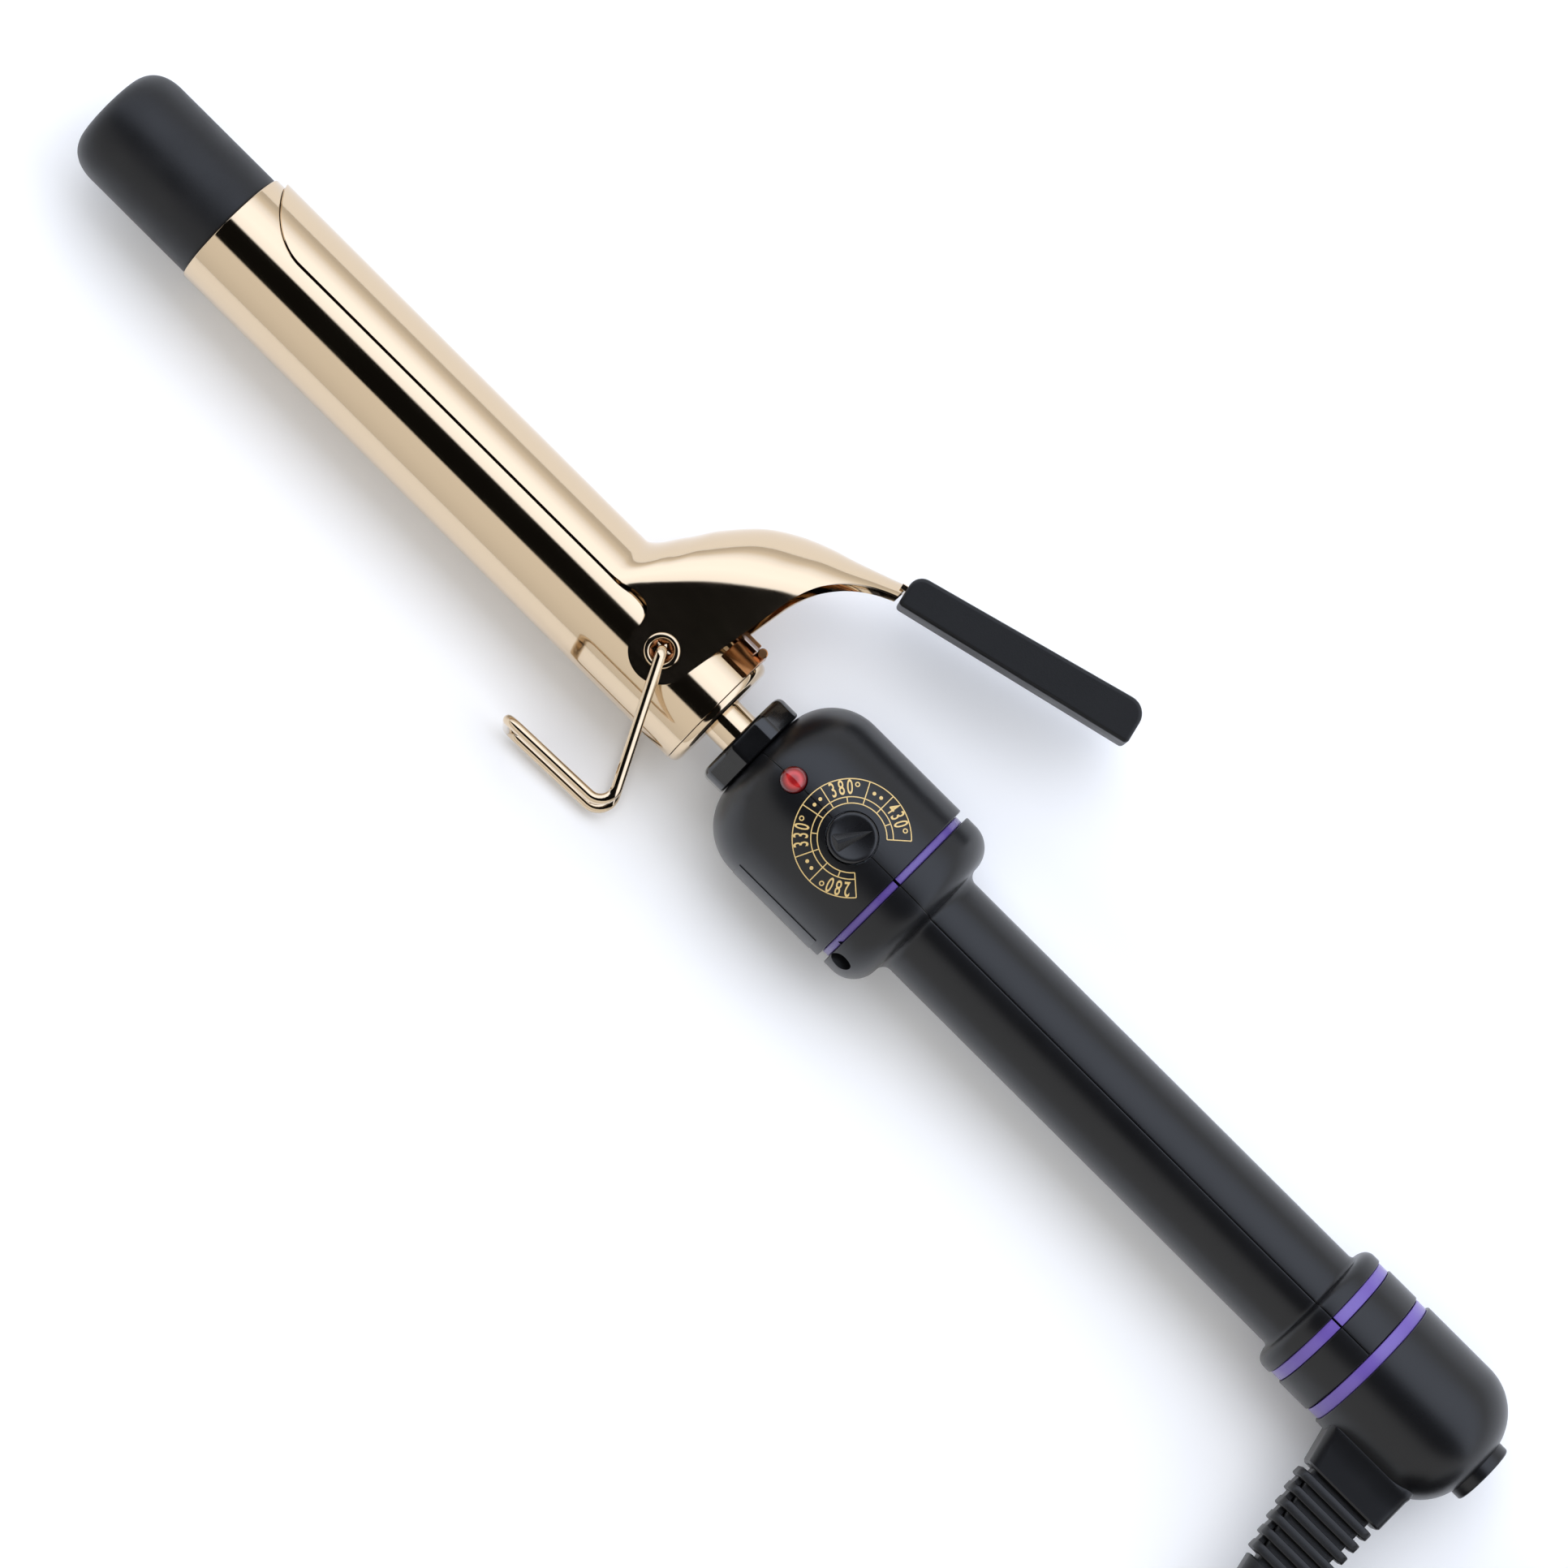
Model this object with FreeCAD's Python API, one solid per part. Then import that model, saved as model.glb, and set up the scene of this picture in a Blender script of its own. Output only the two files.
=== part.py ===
"""Curling iron with a spring clip, a wire stand, a dial in the handle and a swivel cord end.

The iron lies on its side with the dial up: +X runs from the cool tip to the cord end, +Y points to the
thumb lever, +Z is the way the dial faces. Everything is drawn about the barrel axis, with x = 0 where
the tip meets the barrel, and is moved once at the end so that the origin is under the middle of the
iron on the surface that it lies on. Millimetres throughout.
"""
import FreeCAD
import Part
import math
import os

V = FreeCAD.Vector

# ---- barrel and tip ----
BARREL_R = 12.7
BARREL_WALL = 0.8
BARREL_LENGTH = 129.9
END_CAP_BULGE = 1.9
END_CAP_SKIRT = 6.0
END_CAP_WALL = 1.0
TIP_R = 12.2
TIP_LENGTH = 32.5
TIP_FACE_R = 8.3
TIP_ROUNDING = 7.3
TIP_DOME = 0.5
TIP_WALL = 3.0
TIP_SPIGOT = 9.0
STEM_R = 4.4
STEM_WALL = 0.6
STEM_SHOWING = 4.8

# ---- heater inside the barrel ----
HEATER_START = 14.0
HEATER_LENGTH = 94.0
CORE_R = 5.0
CORE_BORE = 3.0
WINDING_DEPTH = 0.7
WINDING_PITCH = 2.35
WINDING_VALLEY = 0.25
WINDING_MARGIN = 3.0
SLEEVE_WALL = 0.8
SENSOR_R = 1.1
SENSOR_LENGTH = 5.0
LEAD_R = 0.6

# ---- clip, lever and thumb rest ----
CLIP_SHEET = 0.6
CLIP_CLEARANCE = 0.2
CLIP_FRONT = 1.9
CLIP_NOSE = 13.6
CLIP_WRAP = 74.4
CLIP_BEND = 17.5
PIVOT_INSET = 14.6
EAR_R = 6.4
EYELET_R = 2.7
EYELET_FLANGE_R = 3.45
EYELET_FLANGE = 0.7
EYELET_MOUTH_R = 2.3
EYELET_TAIL = 1.7
EYELET_ROLL = 0.8
HINGE_CLEARANCE = 0.2
REST_LENGTH = 50.8
REST_WIDTH = 13.4
REST_DEPTH_FRONT = 6.9
REST_DEPTH_REAR = 8.4
REST_SLOPE = 13.4
REST_FRONT_ROUND = 2.8
REST_REAR_ROUND = 3.6
REST_EDGE_ROUND = 1.4
TONGUE_ROOT = 4.5
TONGUE_WIDTH = 9.6
TONGUE_DEPTH = 1.2

# ---- spring and its saddle on the barrel ----
SADDLE_LENGTH = 6.0
SADDLE_SHEET = 0.8
SADDLE_WRAP = 52.0
SADDLE_LIP_R = 1.0
SPRING_WIDTH = 8.0
SPRING_SHEET = 0.7

# ---- wire stand ----
STAND_WIRE_R = 1.08
STAND_SIDE_GAP = 0.52
STAND_BEND_R = 3.2
STAND_TIP_BEND_R = 1.4
STAND_CORNER = (14.5, -28.8)
STAND_FOOT = (-11.2, -29.6)

# ---- handle: head, grip and rear end ----
COLLAR_LENGTH = 5.3
COLLAR_ACROSS = 20.5
COLLAR_NECK_R = 7.0
COLLAR_NECK_LENGTH = 4.6
HEAD_R = 19.3
HEAD_LENGTH = 34.6
HEAD_NOSE_R = 11.5
SHELL_WALL = 2.3
SEAM_GAP = 0.1
FRONT_RING_WIDTH = 1.7
FRONT_RING_SUNK = 1.4
RING_DEPTH = 1.5
RING_CLEARANCE = 0.08
FLANGE_STRAIGHT = 2.3
FLANGE_ROUND = 5.8
NECK_R = 2.0
GRIP_R = 11.47
GRIP_LENGTH = 99.7
REAR_R = 14.85
REAR_CONCAVE = 1.2
REAR_ROUND = 2.2
REAR_TO_RING = 1.5
REAR_RING_WIDTH = 2.6
REAR_RING_SUNK = 0.35
REAR_LAND = 7.3
SCREW_HEAD_R = 2.0
SCREW_R = 1.1
SCREW_SPREAD = 8.0
SCREW_FROM_RING = 2.2
SCREW_BOSS_WALL = 1.3

# ---- controls on the head ----
LENS_FROM_FRONT = 8.2
LENS_R = 2.6
LENS_PROUD = 1.6
LENS_LIP = 0.7
DIAL_FROM_FRONT = 23.6
KNOB_R = 4.87
KNOB_CLEARANCE = 0.25
KNOB_PROUD = 0.9
KNOB_POINTER = 0.8
KNOB_DEPTH = 4.0
POINTER_ANGLE = 63.0
SHAFT_R = 1.5
POT_R = 6.2
POT_DEPTH = 4.0
SWITCH_LENGTH = 13.0
SWITCH_WIDTH = 8.0
SWITCH_DEPTH = 9.0
SWITCH_RECESS = 1.3
SWITCH_RIM = 1.5
SWITCH_RIM_CLEARANCE = 0.3
SWITCH_TAB_PITCH = 5.0
ROCKER_LENGTH = 9.6
ROCKER_WIDTH = 4.6
ROCKER_TILT = 7.0
ROCKER_CLEARANCE = 0.4
ROCKER_PIN_R = 0.9
BOARD_LENGTH = 25.0
BOARD_WIDTH = 24.0
BOARD_SHEET = 1.6
PLATE_SHEET = 0.2
PLATE_WRAP = 22.0
PLATE_LENGTH = 20.4
PLATE_FROM_RING = 2.1

# ---- swivel ----
SWIVEL_RING_R = 14.6
SWIVEL_RING_WIDTH = 2.6
SWIVEL_GAP = 0.2
SWIVEL_R = 15.2
SWIVEL_LENGTH = 28.0
SWIVEL_NOSE_R = 11.5
SWIVEL_WALL = 2.2
WEB_THICKNESS = 2.0
BUTTON_R = 6.5
BUTTON_PROUD = 2.1
HUB_R = 7.6
HUB_FLANGE_R = 9.4
HUB_WALL = 1.6
HUB_FLANGE = 1.8
HUB_INTO_CAP = 3.0
BUSH_LENGTH = 4.4
BUSH_SHOULDER = 1.6
BUSH_INSET = 0.4
RUNNING_FIT = 0.25
SPINDLE_R = 3.4
SPINDLE_WALL = 1.2
SLIP_RING_R = 5.0
SLIP_RING_WIDTH = 2.2
SLIP_RING_PITCH = 5.0
SLIP_RING_COUNT = 2
BRUSH_SIZE = 2.2

# ---- cord guard, cord and plug ----
BOSS_FRONT = 2.0
BOSS_LENGTH = 20.5
BOSS_END_LENGTH = 18.5
BOSS_REACH = 22.0
BOSS_DEPTH = 14.0
BOSS_EDGE_ROUND = 2.2
GUARD_DEPTH = 12.0
RIB_COUNT = 6
RIB_PITCH = 3.14
RIB_THICK = 1.85
RIB_LENGTH = 18.4
RIB_TAPER = 0.72
RIB_INSET = 1.9
GUARD_SPACE = 1.2
GUARD_COLLAR = 10.0
GUARD_PLUNGE = 5.0
CORD_D = 7.0
COIL_TURN_R = 38.5
COIL_LAYERS = 3
COIL_ROWS = 3
TIE_WIDTH = 12.0
TIE_SHEET = 1.0
PLUG_LENGTH = 30.0
PLUG_WIDTH = 24.0
PLUG_HEIGHT = 17.0
PLUG_NECK = 12.0
BLADE_LENGTH = 17.0
BLADE_SHEET = 1.5
BLADE_WIDTHS = (6.35, 7.9)
BLADE_SPACING = 12.7
BLADE_HOLE_R = 1.5
BLADE_HOLE_INSET = 4.0

# ---- stations along the barrel axis ----
x_cap_end = BARREL_LENGTH + END_CAP_BULGE
x_collar = x_cap_end + STEM_SHOWING
x_head = x_collar + COLLAR_LENGTH
x_front_ring = x_head + HEAD_LENGTH
x_flange = x_front_ring + FRONT_RING_WIDTH
x_flange_round = x_flange + FLANGE_STRAIGHT
x_grip = x_flange_round + FLANGE_ROUND + NECK_R
x_rear = x_grip + GRIP_LENGTH
x_rear_ring = x_rear + REAR_CONCAVE + REAR_ROUND + REAR_TO_RING
x_handle_end = x_rear_ring + REAR_RING_WIDTH + REAR_LAND
x_swivel_ring = x_handle_end + SWIVEL_GAP
x_swivel = x_swivel_ring + SWIVEL_RING_WIDTH
x_swivel_end = x_swivel + SWIVEL_LENGTH
x_button_end = x_swivel_end + BUTTON_PROUD
x_pivot = BARREL_LENGTH - PIVOT_INSET
x_dial = x_head + DIAL_FROM_FRONT
x_lens = x_head + LENS_FROM_FRONT

# ---- radii that follow from the sizes above ----
barrel_bore = BARREL_R - BARREL_WALL
clip_in = BARREL_R + CLIP_CLEARANCE
clip_out = clip_in + CLIP_SHEET
floor_z = -HEAD_R


# ---- shape helpers ----
def box(x0, x1, y0, y1, z0, z1):
    return Part.makeBox(x1 - x0, y1 - y0, z1 - z0, V(x0, y0, z0))


def rod_x(radius, x0, x1, y=0.0, z=0.0):
    return Part.makeCylinder(radius, x1 - x0, V(x0, y, z), V(1, 0, 0))


def rod_y(radius, y0, y1, x, z):
    return Part.makeCylinder(radius, y1 - y0, V(x, y0, z), V(0, 1, 0))


def rod_z(radius, z0, z1, x, y=0.0):
    return Part.makeCylinder(radius, z1 - z0, V(x, y, z0), V(0, 0, 1))


def tube_x(outer, inner, x0, x1):
    return rod_x(outer, x0, x1).cut(rod_x(inner, x0 - 1, x1 + 1))


def on_circle(centre, radius, degrees):
    turn = math.radians(degrees)
    return (centre[0] + radius * math.cos(turn), centre[1] + radius * math.sin(turn))


def outline(start, *steps):
    """A closed wire in the XY plane. A step is a point, a round stretch as (centre, radius, from, to) in
    degrees, or a list of Bezier poles that ends at the next point."""
    edges = []
    here = start
    for step in steps:
        if isinstance(step, list):
            curve = Part.BezierCurve()
            curve.setPoles([V(p[0], p[1], 0) for p in [here] + step])
            edges.append(curve.toShape())
            here = step[-1]
            continue
        if len(step) == 4:
            centre, radius, first, last = step
            start_of_arc = on_circle(centre, radius, first)
            if math.dist(here, start_of_arc) > 1e-6:
                edges.append(Part.makeLine(V(*here, 0), V(*start_of_arc, 0)))
            middle = on_circle(centre, radius, (first + last) / 2)
            end = on_circle(centre, radius, last)
            arc = Part.Arc(V(*start_of_arc, 0), V(*middle, 0), V(*end, 0))
            edges.append(arc.toShape())
            here = end
            continue
        edges.append(Part.makeLine(V(*here, 0), V(*step, 0)))
        here = step
    if math.dist(here, start) > 1e-6:
        edges.append(Part.makeLine(V(*here, 0), V(*start, 0)))
    return Part.Wire(edges)


def turned(start, *steps):
    """A solid of revolution about the barrel axis, from an outline in (x, radius)."""
    return Part.Face(outline(start, *steps)).revolve(V(0, 0, 0), V(1, 0, 0), 360)


def slab(wire, z0, z1):
    """An outline in the XY plane, thickened from z0 to z1."""
    face = Part.Face(wire)
    face.translate(V(0, 0, z0))
    return face.extrude(V(0, 0, z1 - z0))


def wedge_x(x0, x1, reach, half_angle, side):
    """A wedge about the barrel axis, open half_angle degrees each way from +Y, or from -Y if side is -1."""
    turn = math.radians(half_angle)
    y = side * reach * math.cos(turn)
    z = reach * math.sin(turn)
    corners = [V(x0, 0, 0), V(x0, y, z), V(x0, side * reach * 2, 0), V(x0, y, -z), V(x0, 0, 0)]
    return Part.Face(Part.makePolygon(corners)).extrude(V(x1 - x0, 0, 0))


def bent_wire(points, radius, bends):
    """A round wire through points, with an arc of radius bends at each point between the ends. Returns
    the solid and the length of its middle line."""
    edges = []
    here = points[0]
    length = 0.0
    for i in range(1, len(points) - 1):
        into = (points[i] - points[i - 1]).normalize()
        out = (points[i + 1] - points[i]).normalize()
        half_turn = into.getAngle(out) / 2
        back = bends[i - 1] * math.tan(half_turn)
        first = points[i] - into * back
        last = points[i] + out * back
        inward = (out - into).normalize()
        middle = points[i] + inward * (bends[i - 1] / math.cos(half_turn) - bends[i - 1])
        edges.append(Part.makeLine(here, first))
        edges.append(Part.Arc(first, middle, last).toShape())
        length += (first - here).Length + 2 * half_turn * bends[i - 1]
        here = last
    edges.append(Part.makeLine(here, points[-1]))
    length += (points[-1] - here).Length
    start_direction = (points[1] - points[0]).normalize()
    section = Part.Wire([Part.makeCircle(radius, points[0], start_direction)])
    shape = Part.Wire(edges).makePipeShell([section], True, False)
    return shape, length


def run_of_wire(points, radius):
    """A thin lead along straight runs, with a ball at each corner."""
    shape = None
    for a, b in zip(points, points[1:]):
        run = Part.makeCylinder(radius, (b - a).Length, a, b - a)
        shape = run if shape is None else shape.fuse(run)
    for corner in points[1:-1]:
        shape = shape.fuse(Part.makeSphere(radius, corner))
    return shape


# ---- barrel group ----
def cool_tip():
    face = -TIP_LENGTH
    full = face + TIP_ROUNDING
    edge = (face + TIP_DOME, TIP_FACE_R)
    domed_face = [(face, TIP_FACE_R * 0.6), (face + TIP_DOME * 0.5, TIP_FACE_R * 0.9), edge]
    rounded_side = [(edge[0] + 1.2, TIP_R - 0.6), (full - 2.2, TIP_R), (full, TIP_R)]
    outer = turned(
        (face, 0),
        domed_face,
        rounded_side,
        (0, TIP_R),
        (0, barrel_bore),
        (TIP_SPIGOT, barrel_bore),
        (TIP_SPIGOT, 0),
    )
    hollow = rod_x(barrel_bore - TIP_WALL, face + 2 * TIP_WALL, TIP_SPIGOT + 1)
    return outer.cut(hollow)


def eyelet_hole(radius):
    return rod_z(radius, -BARREL_R * 2, BARREL_R * 2, x_pivot)


def barrel_tube():
    return tube_x(BARREL_R, barrel_bore, 0, BARREL_LENGTH).cut(eyelet_hole(EYELET_R))


def barrel_end_cap():
    skirt = BARREL_LENGTH - END_CAP_SKIRT
    inner_face = x_cap_end - END_CAP_WALL
    cap = turned(
        (BARREL_LENGTH, barrel_bore),
        (BARREL_LENGTH, BARREL_R),
        ((BARREL_LENGTH, BARREL_R - END_CAP_BULGE), END_CAP_BULGE, 90, 0),
        (x_cap_end, STEM_R),
        (inner_face, STEM_R),
        (inner_face, barrel_bore - END_CAP_WALL),
        (skirt, barrel_bore - END_CAP_WALL),
        (skirt, barrel_bore),
    )
    return cap


def stem_tube():
    return tube_x(STEM_R, STEM_R - STEM_WALL, BARREL_LENGTH - END_CAP_SKIRT, x_head + COLLAR_NECK_LENGTH)


def heater_core():
    return tube_x(CORE_R, CORE_BORE, HEATER_START, HEATER_START + HEATER_LENGTH)


def winding_radius():
    return CORE_R + WINDING_DEPTH


def heater_winding():
    """Close turns of resistance wire, drawn as a sleeve with a round ridge for each turn."""
    turns = int((HEATER_LENGTH - 2 * WINDING_MARGIN) / WINDING_PITCH)
    first = HEATER_START + WINDING_MARGIN
    valley = CORE_R + WINDING_VALLEY
    pole = 2 * winding_radius() - valley
    steps = [(first, valley)]
    for i in range(turns):
        x0 = first + i * WINDING_PITCH
        steps.append([(x0 + WINDING_PITCH / 2, pole), (x0 + WINDING_PITCH, valley)])
    steps.append((first + turns * WINDING_PITCH, CORE_R))
    return turned((first, CORE_R), *steps)


def mica_sleeve():
    inner = winding_radius()
    return tube_x(inner + SLEEVE_WALL, inner, HEATER_START, HEATER_START + HEATER_LENGTH)


def thermal_sensor():
    """A bead on the inside of the barrel with its two legs."""
    height = -(barrel_bore - SENSOR_R)
    middle = HEATER_START + HEATER_LENGTH / 2
    bead = rod_x(SENSOR_R, middle, middle + SENSOR_LENGTH, height)
    end = HEATER_START + HEATER_LENGTH + 3
    for side in (-1, 1):
        z = side * LEAD_R * 1.1
        away = V(middle + SENSOR_LENGTH - 1, height, z * 0.9)
        corner = V(end, height, z)
        gather = V(BARREL_LENGTH - END_CAP_SKIRT + 1, -STEM_R / 2, z * 1.2)
        finish = V(board_start(), gather.y, gather.z)
        legs = run_of_wire([away, corner, gather, finish], LEAD_R * 0.7)
        bead = bead.fuse(legs)
    return bead


def lead_wires():
    """The two heater leads, through the stem to the board."""
    leads = []
    for side in (-1, 1):
        start = V(HEATER_START + HEATER_LENGTH, 1.2, side * (CORE_R - 1.0))
        bend = V(start.x + 5, 1.2, side * (CORE_R - 1.0))
        gather = V(BARREL_LENGTH - END_CAP_SKIRT + 1, 1.2, side * 1.4)
        finish = V(board_start(), gather.y, gather.z)
        leads.append(run_of_wire([start, bend, gather, finish], LEAD_R))
    return Part.makeCompound(leads)


# ---- clip and lever ----
# Each station of the lever, from the pivot: distance along, height of its ridge, height where its flat
# side starts to arch over, and half its width, all for the clip's outside.
def lever_stations():
    return [
        (-CLIP_BEND, clip_out, 0.0, clip_out),
        (-CLIP_BEND + 5.5, clip_out + 6.3, 5.6, clip_out),
        (-8.9, clip_out + 11.0, 8.8, clip_out),
        (-3.2, clip_out + 17.3, 14.5, clip_out),
        (2.5, clip_out + 21.1, 19.3, clip_out),
        (8.2, clip_out + 23.6, 23.6, clip_out - 0.1),
        (13.9, clip_out + 25.4, 27.6, clip_out - 2.3),
        (19.6, clip_out + 27.4, 32.2, clip_out - 5.2),
        (24.0, clip_out + 29.0, 36.2, clip_out - 6.9),
    ]


def lever_section(x, ridge, spring_line, half_width, foot):
    """A flat-sided arch across the iron at x, as a closed wire."""
    corner = [V(x, foot, -half_width), V(x, spring_line, -half_width)]
    edges = [Part.makeLine(*corner)]
    for side in (-1, 1):
        poles = [
            V(x, spring_line, side * half_width),
            V(x, ridge, side * half_width),
            V(x, ridge, 0),
        ]
        if side == 1:
            poles.reverse()
        quarter = Part.BezierCurve()
        quarter.setPoles(poles)
        quarter.setWeight(2, math.sqrt(0.5))
        edges.append(quarter.toShape())
    edges.append(Part.makeLine(V(x, spring_line, half_width), V(x, foot, half_width)))
    edges.append(Part.makeLine(V(x, foot, half_width), V(x, foot, -half_width)))
    return Part.Wire(edges)


def lever_form(skin):
    """The solid inside the lever's outer surface, taken in by skin."""
    stations = lever_stations()
    foot = -clip_out
    wires = []
    for i, (along, ridge, spring_line, half_width) in enumerate(stations):
        before = stations[max(i - 1, 0)]
        after = stations[min(i + 1, len(stations) - 1)]
        slope = (after[1] - before[1]) / (after[0] - before[0])
        drop = skin * math.sqrt(1 + slope * slope) if i else skin
        wires.append(
            lever_section(
                x_pivot + along, ridge - drop, min(spring_line, ridge - drop - 0.5), half_width - skin, foot
            )
        )
    return Part.makeLoft(wires, True, False)


def nose_curve():
    """The clip's rounded front, an ellipse on the unrolled sheet, seen from the side."""
    points = []
    steps = 7
    for i in range(steps + 1):
        part_way = math.sin(math.pi / 2 * i / steps)
        reach = 1 - math.sqrt(1 - part_way * part_way)
        wrap = math.radians(CLIP_WRAP) * part_way
        points.append(V(CLIP_FRONT + CLIP_NOSE * reach, clip_out * math.cos(wrap), 0))
    curve = Part.BSplineCurve()
    curve.interpolate(points)
    return curve, points[0], points[-1]


def clip_side_outline():
    """What is kept of the clip and lever, seen from the dial side."""
    curve, front, edge = nose_curve()
    high = clip_out * 6
    lobe = (x_pivot, 0.0)
    lobe_in = on_circle(lobe, EAR_R, 170)
    shoulder = (x_pivot - 11.8, edge.y + 0.9)
    heel = (x_pivot + 10.3, clip_out + 10.1)
    lever_end = (x_pivot + 24.0, clip_out + 25.8)
    rest = outline(
        (edge.x, edge.y),
        shoulder,
        [(x_pivot - 7.3, edge.y + 1.3), (x_pivot - 6.9, edge.y - 0.4), lobe_in],
        (lobe, EAR_R, 170, 360),
        heel,
        [(x_pivot + 12.7, clip_out + 21.5), lever_end],
        (x_pivot + 24.0, high),
        (front.x, high),
        (front.x, front.y),
    )
    edges = rest.Edges[:-1]
    edges.append(curve.toShape())
    return Part.Wire(Part.__sortEdges__(edges))


def rest_frame():
    """Front lower corner of the thumb rest and the direction that it runs in."""
    slope = math.radians(REST_SLOPE)
    corner = V(x_pivot + 25.1, clip_out + 24.7, 0)
    return corner, V(math.cos(slope), math.sin(slope), 0)


def tongue(clearance):
    """The flat end of the lever inside the thumb rest."""
    corner, along = rest_frame()
    across = V(-along.y, along.x, 0)
    middle = corner + across * (REST_DEPTH_FRONT * 0.5)
    half = TONGUE_DEPTH / 2 + clearance
    start = middle - along * TONGUE_ROOT
    end = start + along * REST_LENGTH
    points = [start - across * half, end - across * half, end + across * half, start + across * half]
    wire = outline(*[(p.x, p.y) for p in points])
    return slab(wire, -TONGUE_WIDTH / 2 - clearance, TONGUE_WIDTH / 2 + clearance)


def clamp_clip():
    reach = x_pivot - CLIP_BEND
    spoon = tube_x(clip_out, clip_in, CLIP_FRONT - 1, reach + 0.02)
    hood = lever_form(0).cut(lever_form(CLIP_SHEET))
    kept = slab(clip_side_outline(), -clip_out * 2, clip_out * 2)
    sheet = spoon.common(kept).fuse(hood.common(kept))
    sheet = sheet.fuse(tongue(0)).removeSplitter()
    return sheet.cut(eyelet_hole(EYELET_R + HINGE_CLEARANCE))


def thumb_rest():
    corner, along = rest_frame()
    across = V(-along.y, along.x, 0)
    end = corner + along * REST_LENGTH
    top_front = corner + across * REST_DEPTH_FRONT
    top_end = end + across * REST_DEPTH_REAR
    wire = outline(*[(p.x, p.y) for p in (corner, end, top_end, top_front)])
    half = REST_WIDTH / 2
    sleeve = slab(wire, -half, half)
    for corner_point, radius in ((top_end, REST_REAR_ROUND), (top_front, REST_FRONT_ROUND)):
        edges = [e for e in sleeve.Edges if near_line(e, corner_point)]
        sleeve = sleeve.makeFillet(radius, edges)
    long_edges = [e for e in sleeve.Edges if abs(abs(e.BoundBox.Center.z) - half) < 0.01]
    sleeve = sleeve.makeFillet(REST_EDGE_ROUND, long_edges)
    return sleeve.cut(tongue(0))


def near_line(edge, point):
    middle = edge.BoundBox.Center
    return edge.BoundBox.ZLength > 1 and math.hypot(middle.x - point.x, middle.y - point.y) < 0.05


# ---- hinge, spring and stand ----
def pivot_eyelets():
    flange_in = clip_out + HINGE_CLEARANCE
    flange_out = flange_in + EYELET_FLANGE
    back = barrel_bore - EYELET_TAIL
    solids = []
    for side in (1, -1):
        body = rod_z(EYELET_R, back, flange_out, x_pivot)
        body = body.fuse(rod_z(EYELET_FLANGE_R, flange_in, flange_out, x_pivot))
        body = body.fuse(rod_z(EYELET_FLANGE_R, back, back + EYELET_ROLL, x_pivot))
        bore = rod_z(STAND_WIRE_R + HINGE_CLEARANCE, back - 1, flange_out + 1, x_pivot)
        mouth = rod_z(EYELET_MOUTH_R, BARREL_R + 0.1, flange_out + 1, x_pivot)
        eyelet = body.cut(bore).cut(mouth)
        if side < 0:
            eyelet = eyelet.mirror(V(0, 0, 0), V(0, 0, 1))
        solids.append(eyelet)
    return Part.makeCompound(solids)


def saddle_top():
    return BARREL_R + SADDLE_SHEET


def spring_saddle():
    """A curved strap welded on top of the barrel, rolled over at its rear edge to hold the spring."""
    x0 = BARREL_LENGTH - SADDLE_LENGTH
    strap = tube_x(saddle_top(), BARREL_R, x0, BARREL_LENGTH)
    reach = BARREL_R * 3
    strap = strap.common(wedge_x(x0 - 1, x0 + SADDLE_LENGTH + 1, reach, SADDLE_WRAP, 1))
    half = SPRING_WIDTH / 2 + 1
    lip = rod_z(SADDLE_LIP_R, -half, half, BARREL_LENGTH - SADDLE_LIP_R, saddle_top() + 0.2)
    return strap.fuse(lip).removeSplitter()


def clip_spring():
    """A bent leaf that pushes the lever away from the barrel, one end in the saddle's lip."""
    low = saddle_top() + SPRING_SHEET + 0.1
    top = clip_out + 17.6
    centre_line = [
        (BARREL_LENGTH - 2.2, low),
        (x_pivot - 1.0, low),
        (x_pivot - 4.0, low + 4.0),
        (x_pivot - 0.5, top - 4.0),
        (x_pivot + 4.5, top),
    ]
    strip = None
    half = SPRING_WIDTH / 2
    for a, b in zip(centre_line, centre_line[1:]):
        run = math.dist(a, b)
        nx = -(b[1] - a[1]) / run * SPRING_SHEET / 2
        ny = (b[0] - a[0]) / run * SPRING_SHEET / 2
        upper = [(a[0] + nx, a[1] + ny), (b[0] + nx, b[1] + ny)]
        lower = [(b[0] - nx, b[1] - ny), (a[0] - nx, a[1] - ny)]
        leaf = slab(outline(*upper, *lower), -half, half)
        strip = leaf if strip is None else strip.fuse(leaf)
    for bend in centre_line[1:-1]:
        strip = strip.fuse(rod_z(SPRING_SHEET / 2, -half, half, *bend))
    return strip.removeSplitter()


def stand_half_width():
    """The legs stand clear of the eyelets' heads, whatever the barrel's size."""
    return clip_out + HINGE_CLEARANCE + EYELET_FLANGE + STAND_SIDE_GAP + STAND_WIRE_R


def stand_wire():
    w = stand_half_width()
    corner = (x_pivot + STAND_CORNER[0], STAND_CORNER[1])
    foot = (x_pivot + STAND_FOOT[0], STAND_FOOT[1])
    inner = barrel_bore - EYELET_TAIL - 0.2
    points = [
        V(x_pivot, 0, inner),
        V(x_pivot, 0, w),
        V(*corner, w),
        V(*foot, w),
        V(*foot, -w),
        V(*corner, -w),
        V(x_pivot, 0, -w),
        V(x_pivot, 0, -inner),
    ]
    bends = [STAND_TIP_BEND_R] + [STAND_BEND_R] * 4 + [STAND_TIP_BEND_R]
    return bent_wire(points, STAND_WIRE_R, bends)[0]


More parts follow.
